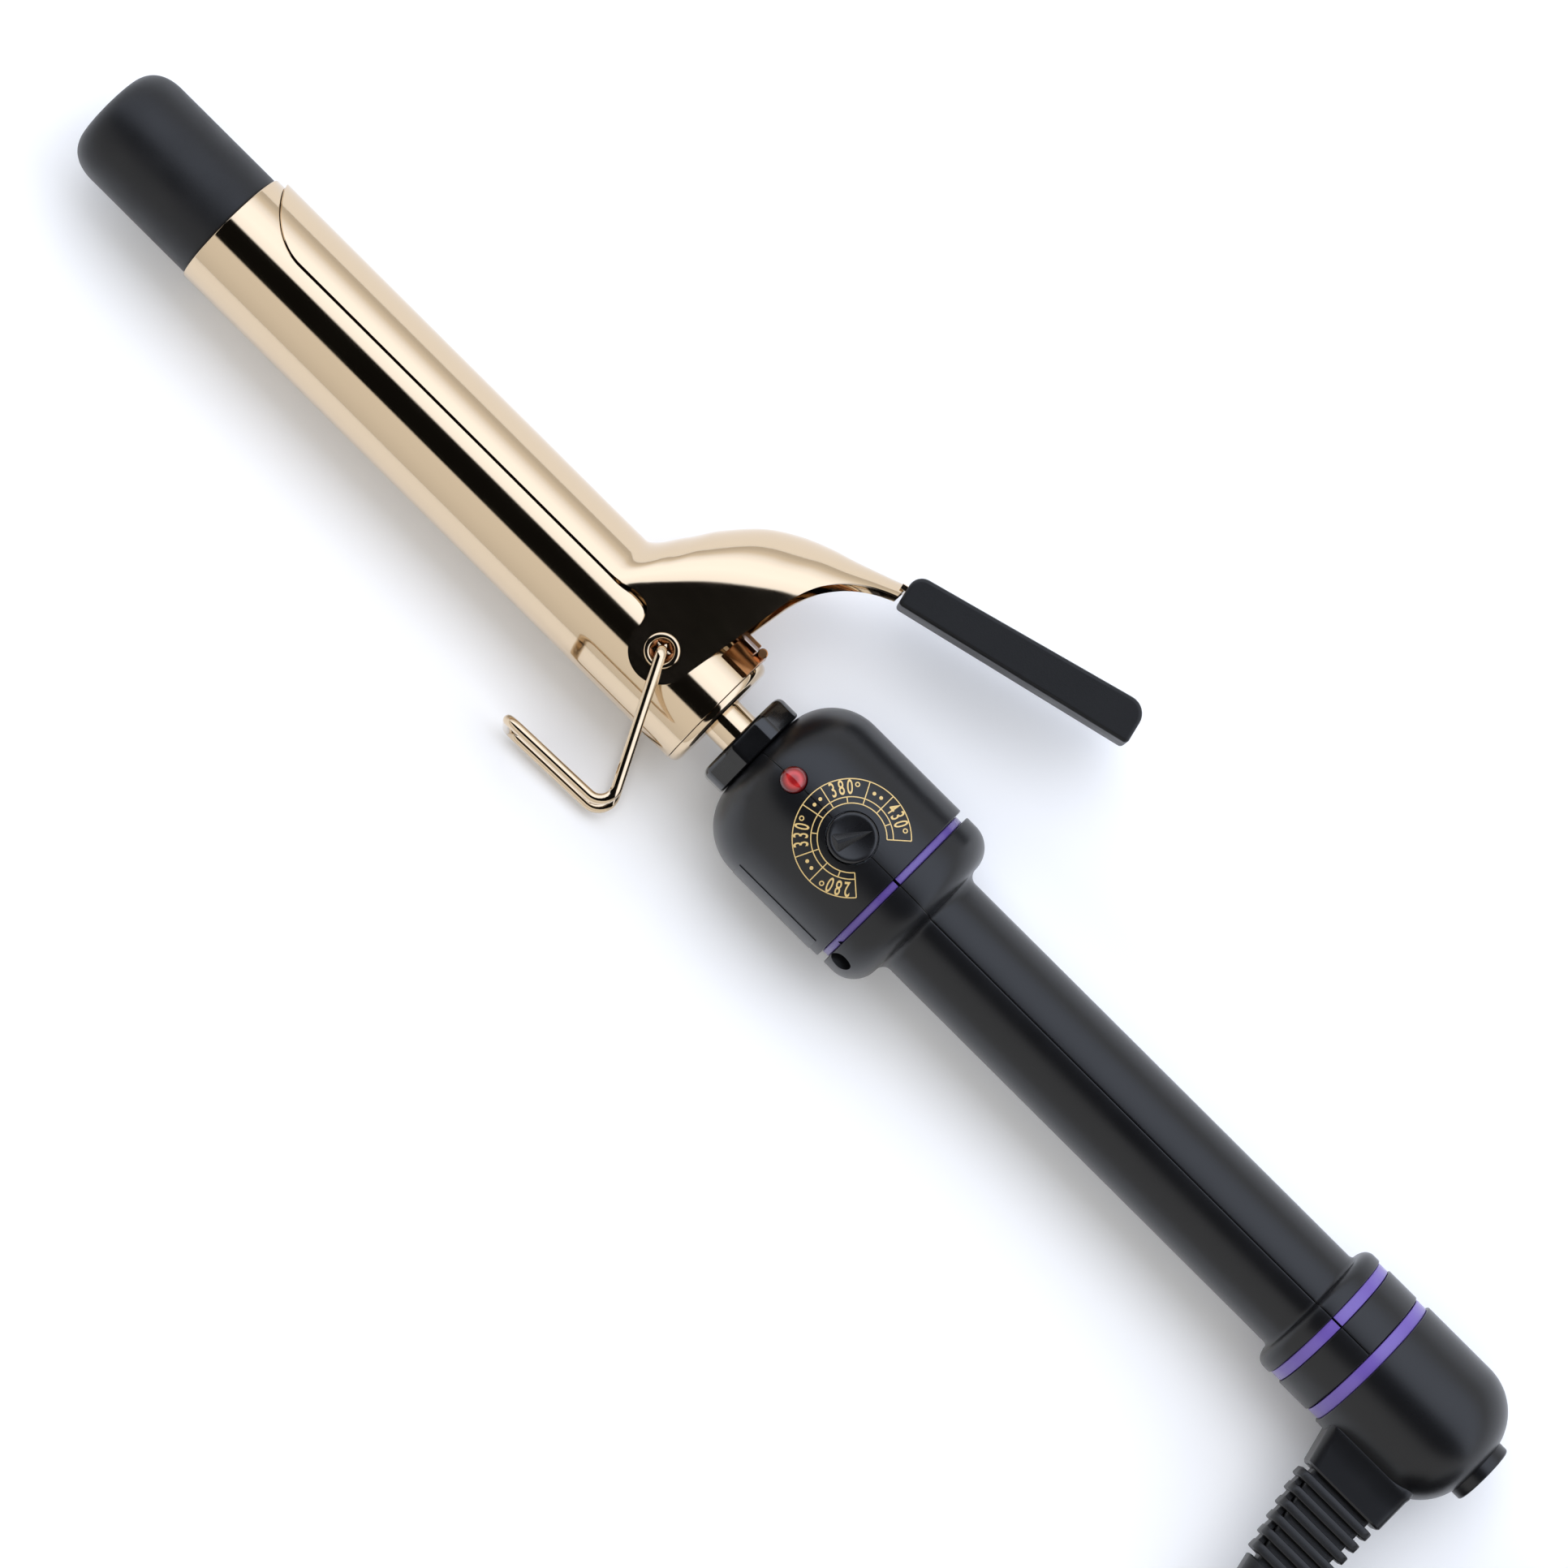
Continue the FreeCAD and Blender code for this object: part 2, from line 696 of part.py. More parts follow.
# ---- handle ----
def handle_outer():
    fillet = (x_head + HEAD_NOSE_R, HEAD_R - HEAD_NOSE_R)
    ring_floor = HEAD_R - FRONT_RING_SUNK - RING_DEPTH
    rear_floor = REAR_R - REAR_RING_SUNK - RING_DEPTH
    rear_round = (x_rear + REAR_CONCAVE + REAR_ROUND, REAR_R - REAR_ROUND)
    return turned(
        (x_head, 0),
        (x_head, fillet[1]),
        (fillet, HEAD_NOSE_R, 180, 90),
        (x_front_ring, HEAD_R),
        (x_front_ring, ring_floor),
        (x_flange, ring_floor),
        (x_flange, HEAD_R),
        ((x_flange_round, HEAD_R - FLANGE_ROUND), FLANGE_ROUND, 90, 0),
        (x_grip - NECK_R, GRIP_R + NECK_R),
        ((x_grip, GRIP_R + NECK_R), NECK_R, 180, 270),
        ((x_rear, GRIP_R + REAR_CONCAVE), REAR_CONCAVE, 270, 360),
        (rear_round, REAR_ROUND, 180, 90),
        (x_rear_ring, REAR_R),
        (x_rear_ring, rear_floor),
        (x_rear_ring + REAR_RING_WIDTH, rear_floor),
        (x_rear_ring + REAR_RING_WIDTH, REAR_R),
        (x_handle_end, REAR_R),
        (x_handle_end, 0),
    )


def handle_hollow():
    fillet = (x_head + HEAD_NOSE_R, HEAD_R - HEAD_NOSE_R)
    inner_nose = HEAD_NOSE_R - SHELL_WALL
    head_bore = HEAD_R - SHELL_WALL
    waist = HEAD_R - FRONT_RING_SUNK - RING_DEPTH - SHELL_WALL
    grip_bore = GRIP_R - SHELL_WALL
    rear_bore = bush_outer()
    x_rear_bore = hub_flange_end() - HUB_FLANGE - 0.55
    return turned(
        (x_head + SHELL_WALL, 0),
        (x_head + SHELL_WALL, fillet[1]),
        (fillet, inner_nose, 180, 90),
        (x_front_ring - SHELL_WALL, head_bore),
        (x_front_ring - SHELL_WALL, waist),
        (x_flange_round, waist),
        (x_flange_round + waist - grip_bore, grip_bore),
        (x_rear_bore, grip_bore),
        (x_rear_bore, rear_bore),
        (x_handle_end + 1, rear_bore),
        (x_handle_end + 1, 0),
    )


def bush_outer():
    return HUB_FLANGE_R + BUSH_SHOULDER


def screw_places():
    return [(x_flange + SCREW_FROM_RING, side * SCREW_SPREAD) for side in (1, -1)]


def screw_seat():
    return -HEAD_R * 0.36


def switch_middle():
    return x_dial


def handle_cutouts():
    """Everything that opens the handle's wall: stem, lens, dial, switch and swivel."""
    neck = rod_x(COLLAR_NECK_R, x_head - 1, x_head + SHELL_WALL + 1)
    lens = rod_z(LENS_R, HEAD_R * 0.5, HEAD_R + 5, x_lens)
    lens_foot = rod_z(LENS_R + LENS_LIP, HEAD_R * 0.5, lens_foot_top(), x_lens)
    dial = rod_z(KNOB_R + KNOB_CLEARANCE, HEAD_R * 0.5, HEAD_R + 5, x_dial)
    half_l = SWITCH_LENGTH / 2
    half_w = SWITCH_WIDTH / 2
    x = switch_middle()
    switch = box(x - half_l, x + half_l, -half_w, half_w, -HEAD_R - 1, -HEAD_R * 0.5)
    recess_top = -HEAD_R + SWITCH_RECESS
    rl = half_l + SWITCH_RIM
    rw = half_w + SWITCH_RIM
    recess = box(x - rl, x + rl, -rw, rw, -HEAD_R - 1, recess_top)
    return neck.fuse([lens, lens_foot, dial, switch, recess])


def handle_shell(side):
    """One half of the handle; side is 1 for the half that faces the lever."""
    reach = HEAD_R * 2
    if side > 0:
        half = box(x_head - 1, x_handle_end + 1, SEAM_GAP / 2, reach, -reach, reach)
    else:
        half = box(x_head - 1, x_handle_end + 1, -reach, -SEAM_GAP / 2, -reach, reach)
    outer = handle_outer()
    shell = outer.cut(handle_hollow()).cut(handle_cutouts()).common(half)
    boss_r = SCREW_HEAD_R + SCREW_BOSS_WALL
    for x, z in screw_places():
        boss = rod_y(boss_r, -reach, reach, x, z).common(half).common(outer)
        shell = shell.fuse(boss)
    for x, z in screw_places():
        shell = shell.cut(rod_y(SCREW_R, screw_seat() - 1, HEAD_R * 0.5, x, z))
        if side < 0:
            shell = shell.cut(rod_y(SCREW_HEAD_R + 0.15, -reach, screw_seat(), x, z))
    return shell.removeSplitter()


def handle_screws():
    screws = []
    for x, z in screw_places():
        head = rod_y(SCREW_HEAD_R, screw_seat() - 1.5, screw_seat(), x, z)
        slot = box(x - 2.5, x + 2.5, screw_seat() - 2, screw_seat() - 0.9, z - 0.3, z + 0.3)
        shank = rod_y(SCREW_R, screw_seat(), HEAD_R * 0.45, x, z)
        screws.append(head.cut(slot).fuse(shank))
    return Part.makeCompound(screws)


def split_ring(x0, x1, outer, inner):
    ring = tube_x(outer, inner, x0 + RING_CLEARANCE, x1 - RING_CLEARANCE)
    gap = 0.3
    reach = outer * 2
    halves = []
    for y0, y1 in ((gap / 2, reach), (-reach, -gap / 2)):
        halves.append(ring.common(box(x0 - 1, x1 + 1, y0, y1, -reach, reach)))
    return Part.makeCompound(halves)


def accent_ring_front():
    outer = HEAD_R - FRONT_RING_SUNK
    return split_ring(x_front_ring, x_flange, outer, outer - RING_DEPTH)


def accent_ring_rear():
    outer = REAR_R - REAR_RING_SUNK
    return split_ring(x_rear_ring, x_rear_ring + REAR_RING_WIDTH, outer, outer - RING_DEPTH)


def collar_nut():
    """Eight-sided moulded collar round the stem, with a neck that the two handle halves close on."""
    apothem = COLLAR_ACROSS / 2
    corner = apothem / math.cos(math.pi / 8)
    points = []
    for i in range(9):
        turn = math.pi / 8 + i * math.pi / 4
        points.append(V(x_collar, corner * math.cos(turn), corner * math.sin(turn)))
    prism = Part.Face(Part.makePolygon(points)).extrude(V(COLLAR_LENGTH, 0, 0))
    prism = prism.common(rod_x(corner - 0.35, x_collar, x_head))
    front = [e for e in prism.Edges if abs(e.BoundBox.Center.x - x_collar) < 0.01]
    prism = prism.makeFillet(1.3, front)
    neck = rod_x(COLLAR_NECK_R, x_head, x_head + COLLAR_NECK_LENGTH)
    hole = rod_x(STEM_R, x_collar - 1, x_head + COLLAR_NECK_LENGTH + 1)
    return prism.fuse(neck).removeSplitter().cut(hole)


# ---- controls ----
def lens_seat():
    """Height of the head's surface at the lens, on its rounded nose."""
    past = x_head + HEAD_NOSE_R - x_lens
    past = max(past, 0.0)
    return HEAD_R - HEAD_NOSE_R + math.sqrt(HEAD_NOSE_R ** 2 - past ** 2)


def lens_foot_top():
    return lens_seat() - SHELL_WALL - 0.8


def pilot_lens():
    top = lens_seat() + LENS_PROUD
    low = lens_foot_top()
    ball_r = (LENS_R ** 2 + LENS_PROUD ** 2) / (2 * LENS_PROUD)
    body = rod_z(LENS_R, low, top, x_lens)
    dome = Part.makeSphere(ball_r, V(x_lens, 0, top - ball_r))
    body = body.common(dome.fuse(rod_z(LENS_R + 1, low - 1, lens_seat(), x_lens)))
    foot = rod_z(LENS_R + LENS_LIP, low - 0.9, low, x_lens)
    return body.fuse(foot).removeSplitter()


def pilot_lamp():
    top = lens_foot_top() - 1.1
    body = rod_z(1.5, top - 5.0, top, x_lens)
    base = board_top()
    legs = [rod_z(0.3, base, top - 4.9, x_lens + dx) for dx in (-0.8, 0.8)]
    return body.fuse(legs)


def knob_floor():
    return HEAD_R - KNOB_DEPTH


def dial_knob():
    """Round knob with a wedge-shaped pointer across it, on its own shaft."""
    top = HEAD_R + KNOB_PROUD
    knob = rod_z(KNOB_R, knob_floor(), top, x_dial)
    rim = [e for e in knob.Edges if abs(e.BoundBox.Center.z - top) < 0.01 and e.BoundBox.XLength > 1]
    knob = knob.makeFillet(0.6, rim)
    tail = 0.3
    reach = KNOB_R - 0.7
    ridge = [(x_dial + reach, 0.0), (x_dial - reach, 1.5), (x_dial - reach, -1.5)]
    wedge = slab(outline(*ridge), top - tail, top + KNOB_POINTER)
    wedge.rotate(V(x_dial, 0, 0), V(0, 0, 1), POINTER_ANGLE)
    shaft = rod_z(SHAFT_R, pot_top() - 2.5, knob_floor(), x_dial)
    return knob.fuse([wedge, shaft]).removeSplitter()


def pot_top():
    return knob_floor() - 1.2


def potentiometer():
    body = rod_z(POT_R, pot_top() - POT_DEPTH, pot_top(), x_dial)
    hole = rod_z(SHAFT_R + 0.2, pot_top() - 3.0, pot_top() + 1, x_dial)
    legs = []
    foot = pot_top() - POT_DEPTH + 0.1
    for y in (-3.0, 0.0, 3.0):
        legs.append(box(x_dial - 0.4, x_dial + 0.4, y - 0.4, y + 0.4, board_top(), foot))
    return body.cut(hole).fuse(legs)


def board_top():
    return 1.2


def board_start():
    return x_head + COLLAR_NECK_LENGTH + 1.2


def circuit_board():
    x0 = board_start()
    half = BOARD_WIDTH / 2
    return box(x0, x0 + BOARD_LENGTH, -half, half, board_top() - BOARD_SHEET, board_top())


def heat_sink():
    """Power switch on a small folded plate, standing on the board beside the dial."""
    x0 = board_start() + 8
    y0 = POT_R + 1.2
    z0 = board_top()
    plate = box(x0, x0 + 12, y0 + 2.2, y0 + 3.2, z0, z0 + 7.5)
    device = box(x0 + 2, x0 + 10, y0, y0 + 2.2, z0, z0 + 6)
    return plate.fuse(device).removeSplitter()


def board_parts():
    x0 = board_start()
    z0 = board_top()
    capacitor = box(x0 + 9, x0 + 17, -POT_R - 4.0, -POT_R - 0.8, z0, z0 + 7)
    fuse = rod_x(1.4, x0 + 1.5, x0 + 7.5, -8.0, z0 + 1.4)
    resistor = rod_x(0.9, x0 + 2, x0 + 7, 8.5, z0 + 0.9)
    return Part.makeCompound([capacitor, fuse, resistor])


def rocker_switch_body():
    half_l = SWITCH_LENGTH / 2
    half_w = SWITCH_WIDTH / 2
    x = switch_middle()
    top = -HEAD_R + SWITCH_RECESS
    rim_l = half_l + SWITCH_RIM - SWITCH_RIM_CLEARANCE
    rim_w = half_w + SWITCH_RIM - SWITCH_RIM_CLEARANCE
    rim = box(x - rim_l, x + rim_l, -rim_w, rim_w, top - 0.7, top)
    can = box(x - half_l, x + half_l, -half_w, half_w, top, top + SWITCH_DEPTH)
    open_l = ROCKER_LENGTH / 2 + ROCKER_CLEARANCE
    open_w = ROCKER_WIDTH / 2 + ROCKER_CLEARANCE
    window = box(x - open_l, x + open_l, -open_w, open_w, top - 2, top + 4.2)
    axle = rod_y(ROCKER_PIN_R + 0.1, -half_w + 0.6, half_w - 0.6, x, rocker_axis_z())
    tabs = []
    back = top + SWITCH_DEPTH
    for place in (-SWITCH_TAB_PITCH, 0, SWITCH_TAB_PITCH):
        tabs.append(box(x + place - 0.4, x + place + 0.4, -1.5, 1.5, back, back + 3))
    return rim.fuse(can).cut(window).cut(axle).fuse(tabs).removeSplitter()


def rocker_axis_z():
    return -HEAD_R + SWITCH_RECESS + 1.2


def rocker_button():
    """A shallow V-faced rocker on an axle across the switch."""
    x = switch_middle()
    half = ROCKER_LENGTH / 2
    axis = rocker_axis_z()
    face = axis - 1.9
    wire = outline(
        (x - half, face + 0.1),
        (x, face + 0.75),
        (x + half, face + 0.1),
        (x + half, axis + 0.4),
        (x + 1.8, axis + 1.7),
        (x - 1.8, axis + 1.7),
        (x - half, axis + 0.4),
    )
    rocker = slab(wire, -ROCKER_WIDTH / 2, ROCKER_WIDTH / 2)
    rocker.rotate(V(0, 0, 0), V(1, 0, 0), 90)
    pin_half = (ROCKER_WIDTH + 1.8) / 2
    pin = rod_y(ROCKER_PIN_R, -pin_half, pin_half, x, axis)
    rocker = rocker.fuse(pin).removeSplitter()
    rocker.rotate(V(x, 0, axis), V(0, 1, 0), ROCKER_TILT)
    return rocker


def rating_plate():
    """A blank plate on the side away from the lever."""
    x1 = x_front_ring - PLATE_FROM_RING
    x0 = x1 - PLATE_LENGTH
    band = tube_x(HEAD_R + PLATE_SHEET, HEAD_R, x0, x1)
    return band.common(wedge_x(x0 - 1, x1 + 1, HEAD_R * 2, PLATE_WRAP, -1))


# ---- swivel ----
def bush_inner():
    return HUB_R + RUNNING_FIT


def swivel_bush():
    x1 = x_handle_end - BUSH_INSET
    return tube_x(bush_outer(), bush_inner(), x1 - BUSH_LENGTH, x1)


def hub_flange_end():
    return x_handle_end - BUSH_INSET - BUSH_LENGTH - RUNNING_FIT


def swivel_hub():
    """Turning tube held behind the bush by its flange, with a spindle for the slip rings in front and a
    web behind that carries the swivel cap."""
    flange_end = hub_flange_end()
    flange_start = flange_end - HUB_FLANGE
    spindle_bore = SPINDLE_R - SPINDLE_WALL
    tube = tube_x(HUB_R, HUB_R - HUB_WALL, flange_start, x_swivel + HUB_INTO_CAP)
    flange = tube_x(HUB_FLANGE_R, spindle_bore, flange_start, flange_end)
    start = flange_start - SLIP_RING_COUNT * SLIP_RING_PITCH - 2
    spindle = tube_x(SPINDLE_R, spindle_bore, start, flange_start)
    web = tube_x(SWIVEL_R - SWIVEL_WALL, HUB_R, x_swivel, x_swivel + WEB_THICKNESS)
    return tube.fuse([flange, spindle, web]).removeSplitter()


def slip_ring_places():
    first = hub_flange_end() - HUB_FLANGE - SLIP_RING_PITCH + 1.0
    return [first - i * SLIP_RING_PITCH for i in range(SLIP_RING_COUNT)]


def slip_rings():
    rings = []
    for x in slip_ring_places():
        rings.append(tube_x(SLIP_RING_R, SPINDLE_R, x, x + SLIP_RING_WIDTH))
    return Part.makeCompound(rings)


def brush_contacts():
    """One carbon block for each slip ring, carried by the grip's wall."""
    blocks = []
    for x, side in zip(slip_ring_places(), (1, -1)):
        z0 = SLIP_RING_R + 0.15
        z1 = GRIP_R - SHELL_WALL
        depth = math.sqrt(z1 ** 2 - BRUSH_SIZE ** 2 / 4)
        block = box(x, x + BRUSH_SIZE, -BRUSH_SIZE / 2, BRUSH_SIZE / 2, z0, depth)
        if side < 0:
            block = block.mirror(V(0, 0, 0), V(0, 0, 1))
        blocks.append(block)
    return Part.makeCompound(blocks)


def accent_ring_swivel():
    return tube_x(SWIVEL_RING_R, HUB_R, x_swivel_ring, x_swivel)


def boss_outline():
    """The cord boss, seen from the dial side: a slanted front and a straight back."""
    x0 = x_swivel + BOSS_FRONT
    x1 = x0 + BOSS_LENGTH
    return outline(
        (x0, 0),
        (x0, -SWIVEL_R + 1.0),
        (x1 - BOSS_END_LENGTH, -BOSS_REACH),
        (x1, -BOSS_REACH),
        (x1, 0),
    )


def guard_end_x():
    return x_swivel + BOSS_FRONT + BOSS_LENGTH - 0.2


def swivel_cap():
    fillet = (x_swivel_end - SWIVEL_NOSE_R, SWIVEL_R - SWIVEL_NOSE_R)
    inner = SWIVEL_R - SWIVEL_WALL
    outer = turned(
        (x_swivel, 0),
        (x_swivel, SWIVEL_R),
        (fillet, SWIVEL_NOSE_R, 90, 0),
        (x_swivel_end, 0),
    )
    half = BOSS_DEPTH / 2
    boss = slab(boss_outline(), -half, half)
    sides = [e for e in boss.Edges if abs(abs(e.BoundBox.Center.z) - half) < 0.01]
    along = [e for e in sides if e.BoundBox.Center.y < -1]
    boss = boss.makeFillet(BOSS_EDGE_ROUND, along)
    hollow = turned(
        (x_swivel - 1, 0),
        (x_swivel - 1, inner),
        (fillet, SWIVEL_NOSE_R - SWIVEL_WALL, 90, 0),
        (x_swivel_end - SWIVEL_WALL, 0),
    )
    shell = outer.fuse(boss).cut(hollow)
    shell = shell.cut(rod_x(button_stem_r(), x_swivel_end - SWIVEL_WALL - 1, x_swivel_end + 1))
    return shell.cut(guard_root()).removeSplitter()


def button_stem_r():
    return BUTTON_R - 1.5


def end_button():
    disc = turned(
        (x_swivel_end, 0),
        (x_swivel_end, BUTTON_R),
        (x_button_end - 0.5, BUTTON_R),
        [(x_button_end - 0.15, BUTTON_R), (x_button_end - 0.1, BUTTON_R - 0.6)],
        [(x_button_end, BUTTON_R * 0.5), (x_button_end, 0)],
    )
    stem = rod_x(button_stem_r(), x_swivel_end - SWIVEL_WALL, x_swivel_end)
    return disc.fuse(stem).removeSplitter()


# ---- cord guard ----
def guard_middle(y):
    """Middle of the guard in x at a height y below the boss; its back is upright and its front slants."""
    width = guard_width(y)
    return guard_end_x() - width / 2


def guard_width(y):
    below = -BOSS_REACH - GUARD_SPACE - y
    return RIB_LENGTH - RIB_TAPER * max(below, 0) / RIB_PITCH


def guard_block(y0, y1, inset, depth):
    """A stretch of the guard, rounded at its ends as seen along the cord."""
    wires = []
    for y in (y0, y1):
        half_l = guard_width(y) / 2 - inset
        half_d = depth / 2 - inset * 0.8
        corner = min(half_l, half_d) * 0.55
        wires.append(rounded_rectangle(guard_middle(y), y, half_l, half_d, corner))
    return Part.makeLoft(wires, True, True)


def rounded_rectangle(x, y, half_l, half_d, corner):
    """A closed wire across the cord's way out, at height y."""
    edges = []
    points = []
    for sx, sz, first in ((1, 1, 0), (-1, 1, 90), (-1, -1, 180), (1, -1, 270)):
        cx = x + sx * (half_l - corner)
        cz = sz * (half_d - corner)
        arc = []
        for turn in (first, first + 45, first + 90):
            a = math.radians(turn)
            arc.append(V(cx + corner * math.cos(a), y, cz + corner * math.sin(a)))
        points.append(arc)
    for i, arc in enumerate(points):
        edges.append(Part.Arc(*arc).toShape())
        edges.append(Part.makeLine(arc[2], points[(i + 1) % 4][0]))
    return Part.Wire(edges)


def guard_root():
    """The foot of the guard inside the boss."""
    return guard_block(guard_first_rib(), -BOSS_REACH + GUARD_PLUNGE, RIB_INSET, GUARD_DEPTH)


def guard_first_rib():
    return -BOSS_REACH - GUARD_SPACE


def guard_collar_start():
    return guard_first_rib() - RIB_COUNT * RIB_PITCH + 0.3


def guard_end():
    return guard_collar_start() - GUARD_COLLAR


def strain_relief():
    core = guard_block(guard_collar_start(), -BOSS_REACH + GUARD_PLUNGE, RIB_INSET, GUARD_DEPTH)
    ribs = []
    for i in range(RIB_COUNT):
        top = guard_first_rib() - i * RIB_PITCH
        ribs.append(guard_block(top - RIB_THICK, top, 0, GUARD_DEPTH))
    collar = guard_block(guard_end(), guard_collar_start(), 0.2, GUARD_DEPTH - 0.5)
    body = core.fuse(ribs + [collar]).removeSplitter()
    way = V(guard_middle(guard_end()), 0, 0)
    return body.cut(rod_y(CORD_D / 2, guard_end() - 1, -BOSS_REACH + GUARD_PLUNGE + 1, way.x, 0))


# ---- cord, coil and plug ----
def coil_rows_half():
    return (COIL_ROWS - 1) / 2 * CORD_D


def coil_outer():
    return COIL_TURN_R + coil_rows_half() + CORD_D / 2


def coil_inner():
    return COIL_TURN_R - coil_rows_half() - CORD_D / 2


def coil_height():
    return COIL_LAYERS * CORD_D


def coil_centre():
    """Middle of the coil, placed so that the cord runs into its outer turn at the side that faces -Y."""
    last = cord_points()[-1]
    return V(last.x, last.y + COIL_TURN_R + coil_rows_half(), 0)


def cord_points():
    """The cord's way from the guard to the coil: straight out, round a quarter turn, down to the surface."""
    x = guard_middle(guard_end())
    y = guard_end()
    lie = floor_z + CORD_D / 2
    return [
        V(x, y + 4.0, 0),
        V(x, y - 20.7, 0),
        V(x + 12.3, y - 42.0, lie * 0.4),
        V(x + 33.6, y - 54.3, lie * 0.84),
        V(x + 59.1, y - 54.3, lie),
    ]


def arc_radii(points):
    radii = []
    for a, b, c in zip(points, points[1:], points[2:]):
        shorter = min((b - a).Length, (c - b).Length)
        half_turn = (b - a).getAngle(c - b) / 2
        radii.append(0.45 * shorter / math.tan(half_turn))
    return radii


def power_cord():
    points = cord_points()
    radii = arc_radii(points)
    shape, length = bent_wire(points, CORD_D / 2, radii)
    print("cord arcs", [round(r, 1) for r in radii], "length", round(length, 1))
    section = math.pi * CORD_D ** 2 / 4
    print("cord volume over section times length", round(shape.Volume / (section * length), 4))
    for p in points:
        print("cord point", [round(c, 2) for c in (p - origin_shift)])
    return shape.cut(strain_relief()).cut(cord_coil())


def cord_coil():
    c = coil_centre()
    outer = coil_outer()
    inner = coil_inner()
    r = CORD_D / 2
    z0 = floor_z
    z1 = floor_z + coil_height()
    ring = Part.makeCylinder(outer, z1 - z0, V(c.x, c.y, z0), V(0, 0, 1))
    ring = ring.cut(Part.makeCylinder(inner, z1 - z0 + 2, V(c.x, c.y, z0 - 1), V(0, 0, 1)))
    return ring.makeFillet(r * 0.9, [e for e in ring.Edges if e.BoundBox.ZLength < 0.1])


def cord_tie():
    c = coil_centre()
    out = coil_outer() + 0.1
    inn = coil_inner() - 0.1
    z0 = floor_z
    z1 = floor_z + coil_height() + 0.1
    half = TIE_WIDTH / 2
    t = TIE_SHEET
    loop = box(c.x - half, c.x + half, c.y + inn - t, c.y + out + t, z0, z1 + t)
    turns = box(c.x - half - 1, c.x + half + 1, c.y + inn, c.y + out, z0, z1)
    return loop.cut(cord_coil()).cut(turns)


def plug_back():
    """Middle of the plug's back face, on top of the coil's side that faces -Y. Its blades point along +X."""
    c = coil_centre()
    return V(c.x - 6.0, c.y - COIL_TURN_R + 3.0, floor_z + coil_height() + PLUG_HEIGHT / 2)


def plug_body():
    back = plug_back()
    wires = []
    for along, width, height in (
        (0.0, PLUG_NECK, PLUG_NECK),
        (PLUG_LENGTH * 0.4, PLUG_WIDTH * 0.86, PLUG_HEIGHT * 0.94),
        (PLUG_LENGTH, PLUG_WIDTH, PLUG_HEIGHT),
    ):
        corner = min(width, height) * 0.3
        wire = rounded_rectangle(0, 0, width / 2, height / 2, corner)
        wire.rotate(V(0, 0, 0), V(0, 0, 1), 90)
        wire.translate(back + V(along, 0, 0))
        wires.append(wire)
    return Part.makeLoft(wires, True, True)


def plug_blades():
    back = plug_back()
    face = back.x + PLUG_LENGTH
    tip = face + BLADE_LENGTH
    blades = []
    for side, width in zip((-1, 1), BLADE_WIDTHS):
        y = back.y + side * BLADE_SPACING / 2
        y0 = y - BLADE_SHEET / 2
        blade = box(face, tip, y0, y0 + BLADE_SHEET, back.z - width / 2, back.z + width / 2)
        hole = rod_y(BLADE_HOLE_R, y0 - 1, y0 + BLADE_SHEET + 1, tip - BLADE_HOLE_INSET, back.z)
        blades.append(blade.cut(hole))
    return Part.makeCompound(blades)


OWN_PIECES = {
    "cool_tip": cool_tip,
    "barrel_tube": barrel_tube,
    "barrel_end_cap": barrel_end_cap,
    "stem_tube": stem_tube,
    "heater_core": heater_core,
    "heater_winding": heater_winding,
    "mica_sleeve": mica_sleeve,
    "thermal_sensor": thermal_sensor,
    "lead_wires": lead_wires,
    "clamp_clip": clamp_clip,
    "thumb_rest": thumb_rest,
    "pivot_eyelets": pivot_eyelets,
    "spring_saddle": spring_saddle,
    "clip_spring": clip_spring,
    "stand_wire": stand_wire,
    "collar_nut": collar_nut,
    "handle_shell_lever_side": lambda: handle_shell(1),
    "handle_shell_stand_side": lambda: handle_shell(-1),
    "handle_screws": handle_screws,
    "accent_ring_front": accent_ring_front,
    "accent_ring_rear": accent_ring_rear,
    "pilot_lens": pilot_lens,
    "pilot_lamp": pilot_lamp,
    "dial_knob": dial_knob,
    "potentiometer": potentiometer,
    "circuit_board": circuit_board,
    "heat_sink": heat_sink,
    "board_parts": board_parts,
    "rocker_switch_body": rocker_switch_body,
    "rocker_button": rocker_button,
    "rating_plate": rating_plate,
    "swivel_bush": swivel_bush,
    "swivel_hub": swivel_hub,
    "slip_rings": slip_rings,
    "brush_contacts": brush_contacts,
    "accent_ring_swivel": accent_ring_swivel,
    "swivel_cap": swivel_cap,
    "end_button": end_button,
    "strain_relief": strain_relief,
}
CORD_PIECES = {
    "power_cord": power_cord,
    "cord_coil": cord_coil,
    "cord_tie": cord_tie,
    "plug_body": plug_body,
    "plug_blades": plug_blades,
}

shapes = {name: make() for name, make in OWN_PIECES.items()}
extent = FreeCAD.BoundBox()
for shape in shapes.values():
    extent.add(shape.optimalBoundingBox(True, False))
origin_shift = V(extent.Center.x, extent.Center.y, extent.ZMin)
shapes.update({name: make() for name, make in CORD_PIECES.items()})

os.makedirs("parts", exist_ok=True)
for name, shape in shapes.items():
    shape.translate(-origin_shift)
    shape.exportStep("parts/" + name + ".step")

